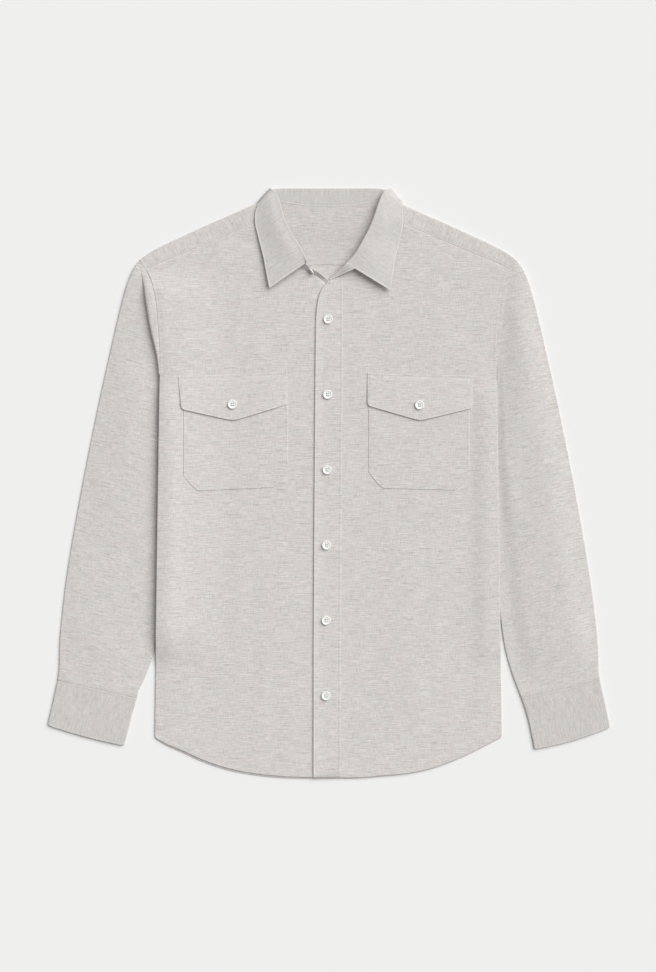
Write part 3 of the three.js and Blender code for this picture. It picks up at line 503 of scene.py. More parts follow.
# Distance of each line of stitches from its edge.
HEM_STITCH = 5.5
ARMHOLE_STITCH = 3.6
YOKE_STITCH = 1.9
body_finish = cloth_finish("slub_shirting", (0.649, 0.623, 0.604))


def hem_line(first_x, last_x, hem=hem_y):
    def place(s):
        x = mix(first_x, last_x, s)
        return x, hem(x)

    return place


def back_top(s):
    x = mix(-1, 1, s) * body_edge(YOKE_ARMHOLE_Y - SEAM)
    return x, back_seam_y(x) - SEAM


lower_rows = shares(UNDERARM_Y - HEM_CORNER_Y, 9, finish=False) * UNDERARM_SHARE
upper_rows = UNDERARM_SHARE + shares(150, 6, start=False)[1:] * (1 - UNDERARM_SHARE)
body_rows = np.concatenate([lower_rows, upper_rows])
back_grid = panel(
    shares(2 * HEM_HALF, 8), body_rows,
    hem_line(-HEM_HALF, HEM_HALF), back_top,
    side_line(-1, YOKE_ARMHOLE_Y - SEAM), side_line(1, YOKE_ARMHOLE_Y - SEAM),
)
hem_away, seam_away, left_away, right_away = to_edges(back_grid)
side_away = np.minimum(left_away, right_away)
back_grid[..., 2] = back_height(back_grid[..., 0], back_grid[..., 1])
back_grid[..., 2] += 0.16 * (1 - smooth(0, 3, side_away)) - 0.25 * (1 - smooth(0, 2, seam_away))
back_grid[..., 2] += topstitched(hem_away, HEM_STITCH, 0.1, 0.1)
# The hem edge gets a painted highlight.
back = shell("back_panel", back_grid, back_grid[..., :2], highlight_falloff(hem_away), body_finish)
stitches("back_stitching", [inset(back_grid, "first_row", HEM_STITCH), inset(back_grid, "last_row", YOKE_STITCH)])
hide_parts("back")


# Yoke. One piece behind the neck that folds over both shoulders to the front, cut on the cross grain,
# edge-stitched where it covers the back panel and the two fronts.
NECK_SIDE_X = 84.5
SHOULDER_FOLD = 1.1
SHOULDER_END = 254
SHOULDER_POINT_Y = 298.7
NECK_SEAM_END = 84.3
# The fold along the top of the shoulder (x, y), and the neck seam behind (x, y).
shoulder_y = through([
    (NECK_SIDE_X, 380.2), (100, 373.4), (118, 365.5), (178, 339), (235, 311.8), (SHOULDER_END, SHOULDER_POINT_Y),
])
neck_seam_y = through([(0, 372.2), (34, 373.6), (68, 379.2), (NECK_SEAM_END, 382)])
FRONT_SEAM_X = (81.5, 247)
FRONT_SEAM_Y = (359.1, 288.5)
FRONT_CREASES = [
    (-214, 150, -150, 190, 16, 0.7), (212, 152, 140, 200, 18, 0.6),
    (-205, 80, -212, -140, 12, 0.5), (96, -60, 120, -330, 26, 0.6),
    (-70, -90, -96, -350, 24, 0.5), (-160, -120, -176, -340, 18, -0.35),
    (186, -80, 178, -330, 16, -0.35), (40, 190, 60, 60, 14, 0.35),
]


def front_seam_y(x):
    return mix(*FRONT_SEAM_Y, (x - FRONT_SEAM_X[0]) / (FRONT_SEAM_X[1] - FRONT_SEAM_X[0]))


def front_height(x, y):
    """Middle of the front cloth, which lies on the back and closes down to it at the side seams."""
    from_side = body_edge(y) - np.abs(x)
    raised = np.maximum(smooth(0, 26, from_side), smooth(UNDERARM_Y, UNDERARM_Y + 45, y))
    raised = raised * (1 - 0.9 * np.exp(-((x + 25) ** 2 + (y - 283) ** 2) / 12 ** 2))
    lifted = edge_lift(x, y) * smooth(116, 150, y) * (1 - smooth(250, 292, y))
    return back_height(x, y) + LAYER + raised * (LOFT + crease_height(FRONT_CREASES, x, y)) + lifted


def yoke_behind(out, share):
    armhole_end = body_edge(YOKE_ARMHOLE_Y)
    top_y = np.where(out < NECK_SIDE_X, neck_seam_y(np.minimum(out, NECK_SEAM_END)) - SEAM, shoulder_y(out))
    bottom_x = out * armhole_end / SHOULDER_END
    y = mix(back_seam_y(bottom_x) - 1.2, top_y, share)
    bow = body_edge(y) - mix(armhole_end, SHOULDER_END, share)
    x = mix(bottom_x, out, share) + bow * (out / SHOULDER_END) ** 6
    z = back_height(x, y) + 0.3 * (1 - smooth(0, 6, share * (top_y - back_seam_y(bottom_x))))
    return np.stack([x, y, z], axis=-1)


def yoke_fold(out, angle):
    slope = shoulder_y(out + 0.5) - shoulder_y(out - 0.5)
    reach = SHOULDER_FOLD * np.sin(angle) / np.hypot(slope, 1)
    z = back_height(out, shoulder_y(out)) + SHOULDER_FOLD * (1 - np.cos(angle))
    return np.stack([out - slope * reach, shoulder_y(out) + reach, z], axis=-1)


def yoke_in_front(out, share):
    f = (out - NECK_SIDE_X) / (SHOULDER_END - NECK_SIDE_X)
    seam_x = mix(*FRONT_SEAM_X, f)
    y = mix(shoulder_y(out), front_seam_y(seam_x) - 0.9, share)
    bow = body_edge(y) - mix(SHOULDER_END, FRONT_SEAM_X[1], share)
    x = mix(out, seam_x, share) + 1.3 * np.sin(math.pi * share) * (1 - f) ** 6 + bow * f ** 6
    start = smooth(0, 0.12, share)
    back_side = back_height(x, y) + 2 * SHOULDER_FOLD
    return np.stack([x, y, mix(back_side, front_height(x, y), start)], axis=-1)


wing = mix(NECK_SIDE_X, SHOULDER_END, shares(170, 6, start=False))
half_columns = np.concatenate([np.linspace(0, NECK_SIDE_X, 15)[:-1], wing])
yoke_columns = np.concatenate([-half_columns[:0:-1], half_columns])
out = np.abs(yoke_columns)
over = np.maximum(out, NECK_SIDE_X)
behind_shares = shares(85, 5)
front_shares = shares(22, 3, start=False)[1:]
fold_angles = np.radians(np.arange(15, 180, 15))
yoke_rows = (
    [yoke_behind(out, share) for share in behind_shares]
    + [yoke_fold(over, angle) for angle in fold_angles]
    + [yoke_in_front(over, share) for share in np.insert(front_shares, 0, 0)]
)
yoke_grid = np.stack(yoke_rows)
yoke_grid[..., 0] *= np.where(yoke_columns < 0, -1, 1)
fold_row = len(behind_shares)
down, to_front_seam, _, _ = to_edges(yoke_grid)
in_front = (np.arange(len(yoke_rows)) >= fold_row)[:, None] & (out >= NECK_SIDE_X)[None]
to_front_seam = np.where(in_front, to_front_seam, 99)
to_armhole = body_edge(np.minimum(yoke_grid[..., 1], SHOULDER_POINT_Y)) - np.abs(yoke_grid[..., 0])
yoke_grid[..., 2] += topstitched(to_front_seam, YOKE_STITCH) - 0.25 * (1 - smooth(0, 6, to_front_seam))
yoke_grid[..., 2] += np.where(in_front, topstitched(to_armhole, ARMHOLE_STITCH), topstitched(down, YOKE_STITCH))
keep = np.ones((len(yoke_rows) - 1, len(yoke_columns) - 1), bool)
keep[fold_row - 1:] = ((yoke_columns[1:] <= -NECK_SIDE_X) | (yoke_columns[:-1] >= NECK_SIDE_X))[None]
# In front the grain runs across the sloping shoulder.
SHOULDER_SLOPE = math.radians(23)
yoke_x, yoke_y = yoke_grid[..., 0], yoke_grid[..., 1]
grain_x = np.abs(yoke_x) * math.cos(SHOULDER_SLOPE) - yoke_y * math.sin(SHOULDER_SLOPE)
grain_y = np.abs(yoke_x) * math.sin(SHOULDER_SLOPE) + yoke_y * math.cos(SHOULDER_SLOPE)
yoke_cut = np.stack([
    np.where(in_front, grain_y, yoke_x), np.where(in_front, grain_x * np.sign(yoke_x), yoke_y),
], axis=-1)
yoke = shell("yoke_piece", yoke_grid, yoke_cut, 0 * to_front_seam, body_finish, keep)
# Inside the neck the cloth is given a slightly darker colour, painted shade where the collar shades the inner back.
painted_shade_inside_finish = cloth_finish("slub_shirting_inside_painted_shade", (0.625, 0.598, 0.577), 0.9)
yoke.data.materials.append(painted_shade_inside_finish)
for polygon in yoke.data.polygons:
    polygon.material_index = int(abs(polygon.center.x) < NECK_SIDE_X * MM)
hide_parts("yoke")
wing_columns = np.flatnonzero(yoke_columns > NECK_SIDE_X)
yoke_paths = [inset(yoke_grid, "first_row", YOKE_STITCH)]
for columns in (wing_columns, len(yoke_columns) - 1 - wing_columns):
    yoke_paths.append(inset(yoke_grid[fold_row + len(fold_angles):, columns], "last_row", YOKE_STITCH))
stitches("yoke_stitching", yoke_paths)


# Fronts. Two panels from the hem to the yoke that lie on the back. Each has a narrow stitched hem, and is
# stitched back to the seam round its armhole. Their inner edges lie under the placket.
# The neckline from the front edge to the yoke (x, y), and the share of that edge where it starts.
NECKLINES = {
    "left": [(12.1, 255), (6.4, 259.6), (-2.4, 267.8), (-16.5, 279.6), (-36, 288.5), (-48, 296), (-60, 308.5),
             (-70, 323), (-77, 340.5)],
    "right": [(12.4, 277.4), (22, 282), (36, 288.3), (50, 297.5), (61, 309.5), (70, 324.5), (77, 340.5)],
}
NECK_START = 0.87
for side, name in ((-1, "left"), (1, "right")):
    neckline = np.array(NECKLINES[name] + [(side * FRONT_SEAM_X[0], FRONT_SEAM_Y[0])], float)
    edge_x, neck_top = neckline[0]
    neck_at = np.linspace(NECK_START, 1, len(neckline))

    def edge_line(t):
        x = np.where(t < NECK_START, edge_x, np.interp(t, neck_at, neckline[:, 0]))
        below = mix(front_hem_y(edge_x), UNDERARM_Y, t / UNDERARM_SHARE)
        above = mix(UNDERARM_Y, neck_top, (t - UNDERARM_SHARE) / (NECK_START - UNDERARM_SHARE))
        y = np.where(t < UNDERARM_SHARE, below, above)
        return x, np.where(t < NECK_START, y, np.interp(t, neck_at, neckline[:, 1]))

    def top_line(s):
        x = mix(FRONT_SEAM_X[0], body_edge(FRONT_SEAM_Y[1] - SEAM), s)
        return side * x, front_seam_y(x) + 0.6

    grid = panel(
        shares(HEM_HALF - side * edge_x, 5, start=False), body_rows,
        hem_line(edge_x, side * HEM_HALF, front_hem_y), top_line,
        edge_line, side_line(side, FRONT_SEAM_Y[1] - SEAM, front_hem_y),
    )
    hem_away, yoke_away, _, side_away = to_edges(grid)
    at_armhole = smooth(UNDERARM_Y, UNDERARM_Y + 12, grid[..., 1])
    grid[..., 2] = front_height(grid[..., 0], grid[..., 1])
    grid[..., 2] += topstitched(hem_away, HEM_STITCH) + at_armhole * topstitched(side_away, ARMHOLE_STITCH)
    grid[..., 2] -= 0.16 * (1 - smooth(0, 3, side_away)) * (1 - at_armhole)
    grid[..., 2] -= 0.5 * (1 - smooth(0.5, 2.5, yoke_away))
    # A faint painted highlight along the hem.
    front = shell("front_panel_" + name, grid, grid[..., :2], 0.3 * highlight_falloff(hem_away), body_finish)
    armhole_grid = grid[body_rows > UNDERARM_SHARE + 0.02]
    stitches("front_stitching_" + name, [
        inset(grid, "first_row", HEM_STITCH), inset(armhole_grid, "last_column", ARMHOLE_STITCH),
    ])
    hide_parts("front_" + name)


# Placket. A folded strip down the middle that carries the buttonholes. Its free edge lies at left over the
# left front, and at its top it bends over to the collar.
PLACKET_WIDTH = 36
PLACKET_BEND_Y = 192
PLACKET_STITCH = 2.4
PLACKET_SEAM_STITCH = 2.6
# The free edge (y, x), straight at first and then bending to the collar.
BEND = [(226, -16), (248, -13), (261, -8), (271.4, 1)]
placket_edge = through([(HEM_Y, -20), (-180, -19.5), (60, -18), (PLACKET_BEND_Y, -16.8)] + BEND)
bend_y = through([(0, PLACKET_BEND_Y)] + [(k + 1, y) for k, (y, _) in enumerate(BEND)])
straight_rows = np.linspace(HEM_Y, PLACKET_BEND_Y, 90)
bends = np.linspace(0, len(BEND), 33)[1:]
levels = np.concatenate([straight_rows, bend_y(bends)])
bent = np.concatenate([0 * straight_rows, bends / len(BEND)])
placket_seam = placket_edge(np.minimum(levels, PLACKET_BEND_Y)) + PLACKET_WIDTH
across = shares(PLACKET_WIDTH, 3)
x = mix(placket_edge(levels)[:, None], mix(placket_seam, 17.6, bent ** 3)[:, None], across)
y = mix(levels[:, None], mix(levels, 278.8, bent ** 2)[:, None], across)
hem_fade = (1 - smooth(HEM_Y, HEM_Y + 20, levels))[:, None]
y = y + hem_fade * (front_hem_y(x) - HEM_Y)
grid = np.stack([x, y, front_height(x, y) + mix(LAYER, 0.65, across)], axis=-1)
hem_away, _, free_away, seam_away = to_edges(grid)
grid[..., 2] += topstitched(free_away, PLACKET_STITCH) + topstitched(seam_away, PLACKET_SEAM_STITCH)
grid[..., 2] += topstitched(hem_away, HEM_STITCH)
grid[..., 2] += 0.8 * (1 - smooth(0, 9, free_away))
# A painted highlight along the free edge.
placket = shell("placket_strip", grid, grid[..., :2], 0.9 * highlight_falloff(free_away), body_finish)
stitches("placket_stitching", [
    inset(grid, "first_column", PLACKET_STITCH), inset(grid, "last_column", PLACKET_SEAM_STITCH),
    inset(grid, "first_row", HEM_STITCH),
])
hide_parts("placket")


# Sleeves. Each is one piece joined into a tube, which lies flat at the side of the body with its seam edge
# tucked under it. At left the sleeve head is folded over the armhole seam, at right it only swells a little.
# The edge beside the body and the outer edge (x, y), from the armhole to the cuff.
UPPER_INNER = [(227.4, UNDERARM_Y), (227.5, 128), (226.2, 110), (222.4, 86), (219.5, 50), (219.5, 0), (222.4, -70)]
UPPER_OUTER = [(254.9, 299.2), (260.6, 291.6), (265.4, 283.4), (269.5, 273.3), (276, 253), (288.6, 201),
               (311.6, 97.6), (333.2, -10.4)]
SLEEVE_INNER = {
    "left": UPPER_INNER + [
        (226.6, -140), (232.8, -213), (238.9, -240), (249.2, -267.6), (254.4, -277.3), (259, -293),
    ],
    "right": UPPER_INNER + [(228, -140), (236.7, -213), (246.4, -253), (261.2, -293)],
}
SLEEVE_OUTER = {
    "left": UPPER_OUTER + [(352, -118.4), (362.2, -206), (363.6, -250), (364.8, -261), (366, -268.8)],
    "right": UPPER_OUTER + [(352, -118.4), (363.2, -206), (365.2, -250), (366.2, -261), (367.3, -268.8)],
}
SLEEVE_TUCK = 15
CUFF_HEIGHT = 2.75
EDGE_ROOM = 1.2


def line(table):
    """A smooth line through rows of (x, y), with points by their share of its length."""
    table = np.array(table, float)
    chord = np.insert(np.cumsum(np.sqrt(np.linalg.norm(np.diff(table, axis=0), axis=1))), 0, 0)
    fine = np.linspace(0, chord[-1], 800)
    places = np.stack([through(np.stack([chord, table[:, k]], axis=1))(fine) for k in (0, 1)], axis=1)
    reach = reach_along(places)
    reach /= reach[-1]
    return lambda share: np.stack([np.interp(share, reach, places[:, k]) for k in (0, 1)], axis=-1)


def armhole(share, away):
    """Place on the armhole, by its share from the underarm up, or a distance in mm outside it."""
    y = mix(UNDERARM_Y, SHOULDER_POINT_Y, np.clip(share, 0, 1))
    slope = body_edge(y + 1) - body_edge(y - 1)
    length = np.hypot(2, slope)
    return np.stack([body_edge(y) + away * 2 / length, y - away * slope / length], axis=-1)


EDGE_ANGLES = np.radians([18, 36, 54, 72, 90, 108, 126, 144, 162])
UPPER_SHARES = np.linspace(0, 1, 49)
LOWER_SHARES = np.linspace(1, 0, 13)


def tube_ring(place, upper, under=None):
    """Once round a flattened tube: its under side, one edge, its upper side and the other edge."""
    under = under or place
    room = (EDGE_ROOM + CLOTH / 2) / np.linalg.norm(place(1.0) - place(0.0))

    def edge(share, inward):
        height = upper(share) - FLOOR
        here = place(share)
        out = here - place(inward)
        out = out / np.linalg.norm(out)
        half = height / 2
        return [
            np.append(here + out * (half * (math.sin(angle) - 1) - CLOTH / 2), FLOOR + half * (1 - math.cos(angle)))
            for angle in EDGE_ANGLES
        ]

    below = [np.append(under(mix(room, 1 - room, u)), FLOOR) for u in LOWER_SHARES]
    above = [np.append(place(mix(room, 1 - room, u)), upper(u)) for u in UPPER_SHARES]
    ring = below + edge(0.0, 0.02) + above + edge(1.0, 0.98)[::-1]
    return np.array(ring + ring[:1])


# From x, from y, to x, to y, half width, height.
SLEEVE_CREASES = {
    "left": [(300, 190, 262, 120, 14, 0.5), (330, 20, 250, -60, 16, 0.5), (345, -60, 262, -110, 13, -0.4),
             (350, -190, 285, -235, 14, 0.6), (300, -200, 322, -268, 9, 0.4), (270, 90, 262, -40, 14, 0.45)],
    "right": [(262, 236, 292, 120, 15, 0.6), (330, 30, 246, -40, 16, 0.4), (345, -80, 270, -122, 13, -0.35),
              (352, -180, 290, -238, 15, 0.55), (296, -196, 312, -268, 9, 0.4), (252, 100, 250, -60, 14, 0.4)],
}
# At each side: how high the folded head rises, how far it drops to the sleeve, how much of its reach it has,
# and how high the sleeve rises beside the body.
FOLDS = {"left": (0.3, 1.0, 1.0, 0), "right": (0.0, 0.0, 0.45, 2.6)}
# How far the folded head reaches out over the sleeve, by its share of the armhole from the underarm up.
fold_reach = through([
    (0, 1.0), (0.08, 2.0), (0.19, 4.6), (0.364, 9.8), (0.518, 12.6), (0.652, 13.4), (0.773, 12.3), (0.9, 9), (1, 1.4),
])
# Rows of the folded head: how far out, how far back under the fold, and how high from the lower layer.
# The first two rows come out from under the edge of the front.
HEAD = [(-0.07, 0, 1), (0.02, 0, 1), (0.35, 0, 1.02), (0.75, 0, 1.02), (0.95, 0, 0.98), (1, 0, 0.8), (1, 0.4, 0.55),
        (1, 2.2, 0.35), (1, 3.4, 0.15), (1, 2.6, 0.02), (1, 0.6, 0)]
# Shares of the sleeve's length. Up to FAN_END the rows fan out from the shoulder point.
FAN_END = 0.03
STATIONS = np.concatenate([
    [0.006, 0.012, 0.018, 0.024], np.linspace(FAN_END, 0.12, 10),
    np.linspace(0.135, 0.9, 64), np.linspace(0.91, 1, 12),
])
SLEEVE_GRAIN = math.radians(13)
SLEEVE_DRIFT = {"left": 0.37, "right": 1.13}
for side, name in ((-1, "left"), (1, "right")):
    sleeve_finish = cloth_finish("slub_sleeving_" + name, (0.640, 0.616, 0.597), SLEEVE_DRIFT[name])
    inner, outer = line(SLEEVE_INNER[name]), line(SLEEVE_OUTER[name])
    rise, drop, narrow, beside = FOLDS[name]

    def bulge(share):
        return np.sin(math.pi * np.clip(share, 0, 1))

    def fold_out(share):
        return fold_reach(np.clip(share, 0, 1)) * narrow

    def seam_height(share):
        x, y = armhole(share, -SEAM / 2).T
        return np.maximum(front_height(side * x, y), FLOOR + LAYER)

    def main_height(share):
        return mix(seam_height(share), FLOOR + LAYER, drop * smooth(1, 0.85, share))

    rings = []
    for row, (reach, under, high) in enumerate(HEAD):
        # Without a fold the rows are spread evenly. The first row is hidden and the second a little sunk.
        spread = mix(max(0.02, (row - 1) / (len(HEAD) - 2)), reach, drop)
        sunk = (1.2, 0.3 * drop)[row] if row < 2 else 0

        def place(u):
            away = -0.9 if row == 0 else SEAM + (fold_out(u) - SEAM) * spread - under * drop * bulge(u) ** 0.5
            return armhole(u, away)

        def under_place(u):
            return armhole(u, mix(SEAM, fold_out(u), row / len(HEAD)))

        def upper(u):
            return mix(main_height(u), seam_height(u) + rise * bulge(u) * smooth(0, 0.8, reach) - sunk, high)

        rings.append(tube_ring(place, upper, under_place))
    for v in STATIONS:
        width = np.linalg.norm(outer(v) - inner(v))
        like_armhole = 1 - smooth(0, 0.3, v)
        like_cuff = smooth(0.86, 1, v)

        def place(u):
            # The first rows run close together beside the fold.
            at = v if v >= FAN_END else FAN_END - (FAN_END - v) * (1 - 0.9 * bulge(u) ** 0.3)
            bow = armhole(u, 0) - mix(armhole(0.0, 0), armhole(1.0, 0), u)
            return mix(inner(at), outer(at), u) + bow * like_armhole

        def upper(u):
            tuck = SLEEVE_TUCK * (1 + like_armhole)
            past = np.clip((u * width - tuck) / (width - tuck), 0, 1)
            x, y = place(u)
            crease = crease_height(SLEEVE_CREASES[name], x, y) * smooth(0, 0.15, past) * smooth(0, 0.1, 1 - past)
            full = 1 - drop * (1 - smooth(0.04, 0.26, v))
            away = x - body_edge(np.maximum(y, UNDERARM_Y))
            swell = 1 - (1 - drop) * like_armhole * (1 - smooth(2, 46, away))
            roll = beside * smooth(0, 27, u * width - tuck + 3) * smooth(0, 0.35, 1 - past)
            crown = (2 + beside * 0.5 * like_armhole) * np.sin(math.pi * past ** (1 + beside * 0.25))
            base = mix(main_height(u), FLOOR + LAYER, smooth(0, 0.22, v))
            height = base + 0.8 * past * like_armhole * swell + (crown + crease + roll) * full * swell
            return mix(height, CUFF_HEIGHT, like_cuff) - 0.25 * smooth(0.992, 1, v)

        rings.append(tube_ring(place, upper))
    grid = np.array(rings)
    cos, sin = math.cos(SLEEVE_GRAIN), math.sin(SLEEVE_GRAIN)
    cut = side * np.stack([grid[..., 0] * cos + grid[..., 1] * sin, grid[..., 1] * cos - grid[..., 0] * sin], axis=-1)
    grid[..., 0] *= side
    if side > 0:
        grid, cut = grid[:, ::-1], cut[:, ::-1]
    sleeve = shell("sleeve_tube_" + name, grid, cut, np.zeros(grid.shape[:2]), sleeve_finish, closed=True)
    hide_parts("sleeve_" + name)


# Cuffs. Each is a doubled band round the end of a sleeve, cut on the cross grain, stitched along the seam
# that holds the sleeve and along its edge, with its corners rounded.
CUFF_DEPTH = 72
CUFF_STITCH = 2.4
CUFF_INNER = {
    "left": [(258.8, -292.2), (266.2, -319.4), (275.6, -355.6)],
    "right": [(261, -292.2), (269.4, -319), (278.2, -360.4)],
}
CUFF_OUTER = {
    "left": [(365.9, -268.3), (373, -300.5), (379.2, -327.8)],
    "right": [(367.3, -268.2), (374.5, -300.5), (380.7, -330.3)],
}
# How far the free edge bows out, and how much its corners are rounded off.
CUFF_EDGE = {"left": (1.6, 2.6), "right": (3.2, 1.2)}
cuff_finish = cloth_finish("slub_cuffing", (0.61, 0.589, 0.57), 2.3, 0.85)
for side, name in ((-1, "left"), (1, "right")):
    inner, outer = line(CUFF_INNER[name]), line(CUFF_OUTER[name])
    edge_bow, edge_corner = CUFF_EDGE[name]
    rings, along = [], shares(CUFF_DEPTH, 5)
    for v in along:
        start, finish = inner(v), outer(v)
        down = unit(np.array([finish[1] - start[1], start[0] - finish[0]]))
        from_ends = np.minimum(v, 1 - v) * CUFF_DEPTH

        def place(u):
            bow = edge_bow * v * np.sin(math.pi * np.clip(u, 0, 1)) - edge_corner * v ** 8 * np.abs(2 * u - 1) ** 30
            return mix(start, finish, u) + down * bow

        def upper(u):
            return CUFF_HEIGHT + 0.12 + topstitched(from_ends, CUFF_STITCH)

        rings.append(tube_ring(place, upper))
    grid = np.array(rings)
    on_top = grid[:, len(LOWER_SHARES) + len(EDGE_ANGLES) + 1:][:, :len(UPPER_SHARES) - 2] * np.array([side, 1, 1])
    stitches("cuff_stitching_" + name, [inset(on_top, border, CUFF_STITCH) for border in ("first_row", "last_row")])
    girth = run(grid, 1)
    girth = girth - girth[:, 40:41]
    cut = np.stack([np.broadcast_to(-along[:, None] * CUFF_DEPTH, girth.shape), girth * side], axis=-1)
    grid[..., 0] *= side
    # A faint painted highlight along the cuff's free edge.
    edge_highlight = np.broadcast_to(0.3 * highlight_falloff((1 - along) * CUFF_DEPTH)[:, None], girth.shape)
    if side > 0:
        grid, cut = grid[:, ::-1], cut[:, ::-1]
    cuff = shell("cuff_band_" + name, grid, cut, edge_highlight, cuff_finish, closed=True)
    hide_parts("cuff_" + name)


# Pockets and flaps. Patch pockets with cut-off lower corners, stitched round, each under a flap with a shallow
# point. The flap is stitched along its top and hangs free over the pocket mouth.
POCKETS = {
    "left": dict(middle=-125, width=139.6, bottom=-9.1, tilt=6.2,
                 flap_middle=-129, flap_lean=3.6, button=(-129.4, 105.2)),
    "right": dict(middle=122.4, width=135, bottom=-9.2, tilt=-3.4,
                  flap_middle=123.6, flap_lean=0, button=(123, 104.4)),
}
POCKET_TOP, POCKET_DEPTH = 134, 143
POCKET_CORNER = (19.5, 21.5)
POCKET_STEP = 0.6
POCKET_STITCH = 2.4
FLAP_STITCH = 2.2
FLAP_TOP, FLAP_SIDE_BOTTOM, FLAP_POINT = 145, 102, 83.3
FLAP_LIFT, FLAP_DEPTH, FLAP_MEAN_DEPTH = 1.7, 61, 53.5
for name, pocket in POCKETS.items():
    half = pocket["width"] / 2
    offset = mix(-half, half, shares(pocket["width"], 4))
    cut_off = np.clip((np.abs(offset) - half + POCKET_CORNER[0]) / POCKET_CORNER[0], 0, 1)
    bottom = pocket["bottom"] + POCKET_CORNER[1] * cut_off ** 1.3
    share = shares(POCKET_DEPTH, 4)[:, None]
    x = pocket["middle"] + offset[None] + 0 * share
    y = mix(POCKET_TOP, bottom[None], share) + pocket["tilt"] * offset[None] / pocket["width"]
    grid = np.stack([x, y, front_height(x, y) + POCKET_STEP], axis=-1)
    top_away, bottom_away, left_away, right_away = to_edges(grid)
    from_corner = np.where(cut_off > 0, 0.66, 1)[None] * bottom_away
    away = np.minimum(np.minimum(left_away, right_away), from_corner)
    grid[..., 2] += topstitched(away, POCKET_STITCH)
    # A very faint painted highlight round the stitched edges.
    patch = shell("pocket_patch_" + name, grid, grid[..., :2], 0.1 * highlight_falloff(away), body_finish)
    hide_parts("pocket_" + name)
    round_edge = np.array([
        [np.interp(POCKET_STITCH, away[::-1, c], grid[::-1, c, k]) for k in range(3)]
        for c in range(1, grid.shape[1] - 1) if away[:, c].max() > POCKET_STITCH
    ])
    paths = [round_edge + np.array([0, 0, CLOTH / 2])]
    above_corner = int(grid.shape[0] * 0.8)
    paths += [inset(grid, border, POCKET_STITCH)[:above_corner] for border in ("first_column", "last_column")]

    half = pocket["width"] / 2 + 3
    offset = mix(-half, half, shares(2 * half, 4))
    slope_y = mix(FLAP_POINT, FLAP_SIDE_BOTTOM, np.abs(offset) / half)
    rounded = 4 * (1 - np.sqrt(np.clip(1 - np.clip((np.abs(offset) - half + 5) / 5, 0, 1) ** 2, 0, 1)))
    lower = slope_y + rounded + 0.8 * np.exp(-((offset / 5) ** 2))
    share = shares(FLAP_DEPTH, 3)[:, None]
    x = pocket["flap_middle"] + offset[None] + pocket["flap_lean"] * share * (0.5 - offset[None] / (2 * half)) ** 2
    level = mix(FLAP_TOP, lower[None], share)
    y = level + pocket["tilt"] * offset[None] / pocket["width"]
    over_pocket = POCKET_STEP * (1 - smooth(POCKET_TOP + 2, FLAP_TOP - 1, level))
    grid = np.stack([x, y, front_height(x, y) + POCKET_STEP], axis=-1)
    top_away, bottom_away, left_away, right_away = to_edges(grid)
    side_away = np.minimum(left_away, right_away)
    away = np.minimum(side_away, bottom_away)
    grid[..., 2] += over_pocket * smooth(0, 5, side_away) + FLAP_LIFT * share * smooth(-8, 30, right_away)
    grid[..., 2] += topstitched(away, FLAP_STITCH) + topstitched(top_away, FLAP_STITCH)
    # Painted highlight along the lower and left edges, fainter at right, and none along the top.
    edge_highlight = np.minimum(1, highlight_falloff(bottom_away) + highlight_falloff(left_away)) + 0.3 * highlight_falloff(right_away)
    flap = shell("pocket_flap_piece_" + name, grid, grid[..., :2], 0.8 * edge_highlight * smooth(0, 5, top_away), body_finish)
    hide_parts("pocket_flap_" + name)
    paths += [inset(grid, border, FLAP_STITCH) for border in ("first_row", "last_row", "first_column", "last_column")]
    stitches("pocket_stitching_" + name, paths)


# Collar. A stand is sewn round the neck, and the fall is sewn to its top, rolls over it and lies down all
# round. Behind the neck the fall lies under the yoke, and in front it ends in two points.
COLLAR_TURN_HEIGHT = 3.15
COLLAR_LAYER = 1.5
FALL_SEAM = 5
# Sections in front: neck x, y, roll x, y, edge x, y, lift of the roll and of the edge.
COLLAR_LEFT = [
    (83.3, 371, 71.5, 392, 98, 365, 1.6, 0.8), (81, 358.6, 66, 376, 98.6, 350, 3.4, 1.2),
    (77, 340.5, 60.5, 357, 95.3, 334.5, 4.6, 1.8), (70, 323, 52.5, 339.5, 91.4, 319, 5.2, 2.6),
    (60, 308.5, 44, 325, 87.6, 304, 6.2, 3.6), (48, 296, 35.5, 311, 83.6, 283, 7.4, 4.6),
    (36, 288.5, 29.4, 296.3, 79.4, 262, 8.6, 5.4), (16.5, 280, 13.5, 284, 0, 0, 6, 0),
    (2.4, 268.2, -0.6, 272.2, 0, 0, 1.4, 0), (-6.4, 260, -9.4, 264, 0, 0, 0, 0),
]
COLLAR_RIGHT = [
    (83.3, 371, 76.5, 391.6, 100, 365, 2.8, 0.6), (81, 358.6, 69.8, 378, 100.4, 350, 5.6, 0.8),
    (77, 340.5, 63.8, 360, 97.5, 333, 6.8, 1), (70, 324.5, 57, 343, 94, 318, 7.2, 1.4),
    (61, 309.5, 47.8, 325, 90, 303, 7.6, 3), (50, 297.5, 38, 308.6, 86.6, 281, 8, 5),
    (36, 288.3, 25, 294.8, 83.2, 259, 8, 6.6), (22, 282, 15.6, 286, 0, 0, 4.8, 0),
    (12.4, 277.8, 8.2, 279.6, 0, 0, 1.4, 0), (2.4, 273, 1.5, 274.2, 0, 0, 0.2, 0),
]
# At right the stand comes out from under the fall (mm from its end) and starts level with it (mm).
STAND_OUT, STAND_RISE = 37.5, 1.65
# Sections behind and at the side of the neck: neck x, y, roll x, y, edge x, y.
COLLAR_BACK = [(0, 372.2, 0, 395.7, 0, 351), (34, 373.6, 32, 395.7, 36, 352.5), (68, 379.2, 64, 395.7, 74, 360)]
COLLAR_SIDE = {-1: (84.3, 382, 77, 394.3, 94.6, 374.8), 1: (84.3, 382, 82.4, 393.4, 98.6, 376)}
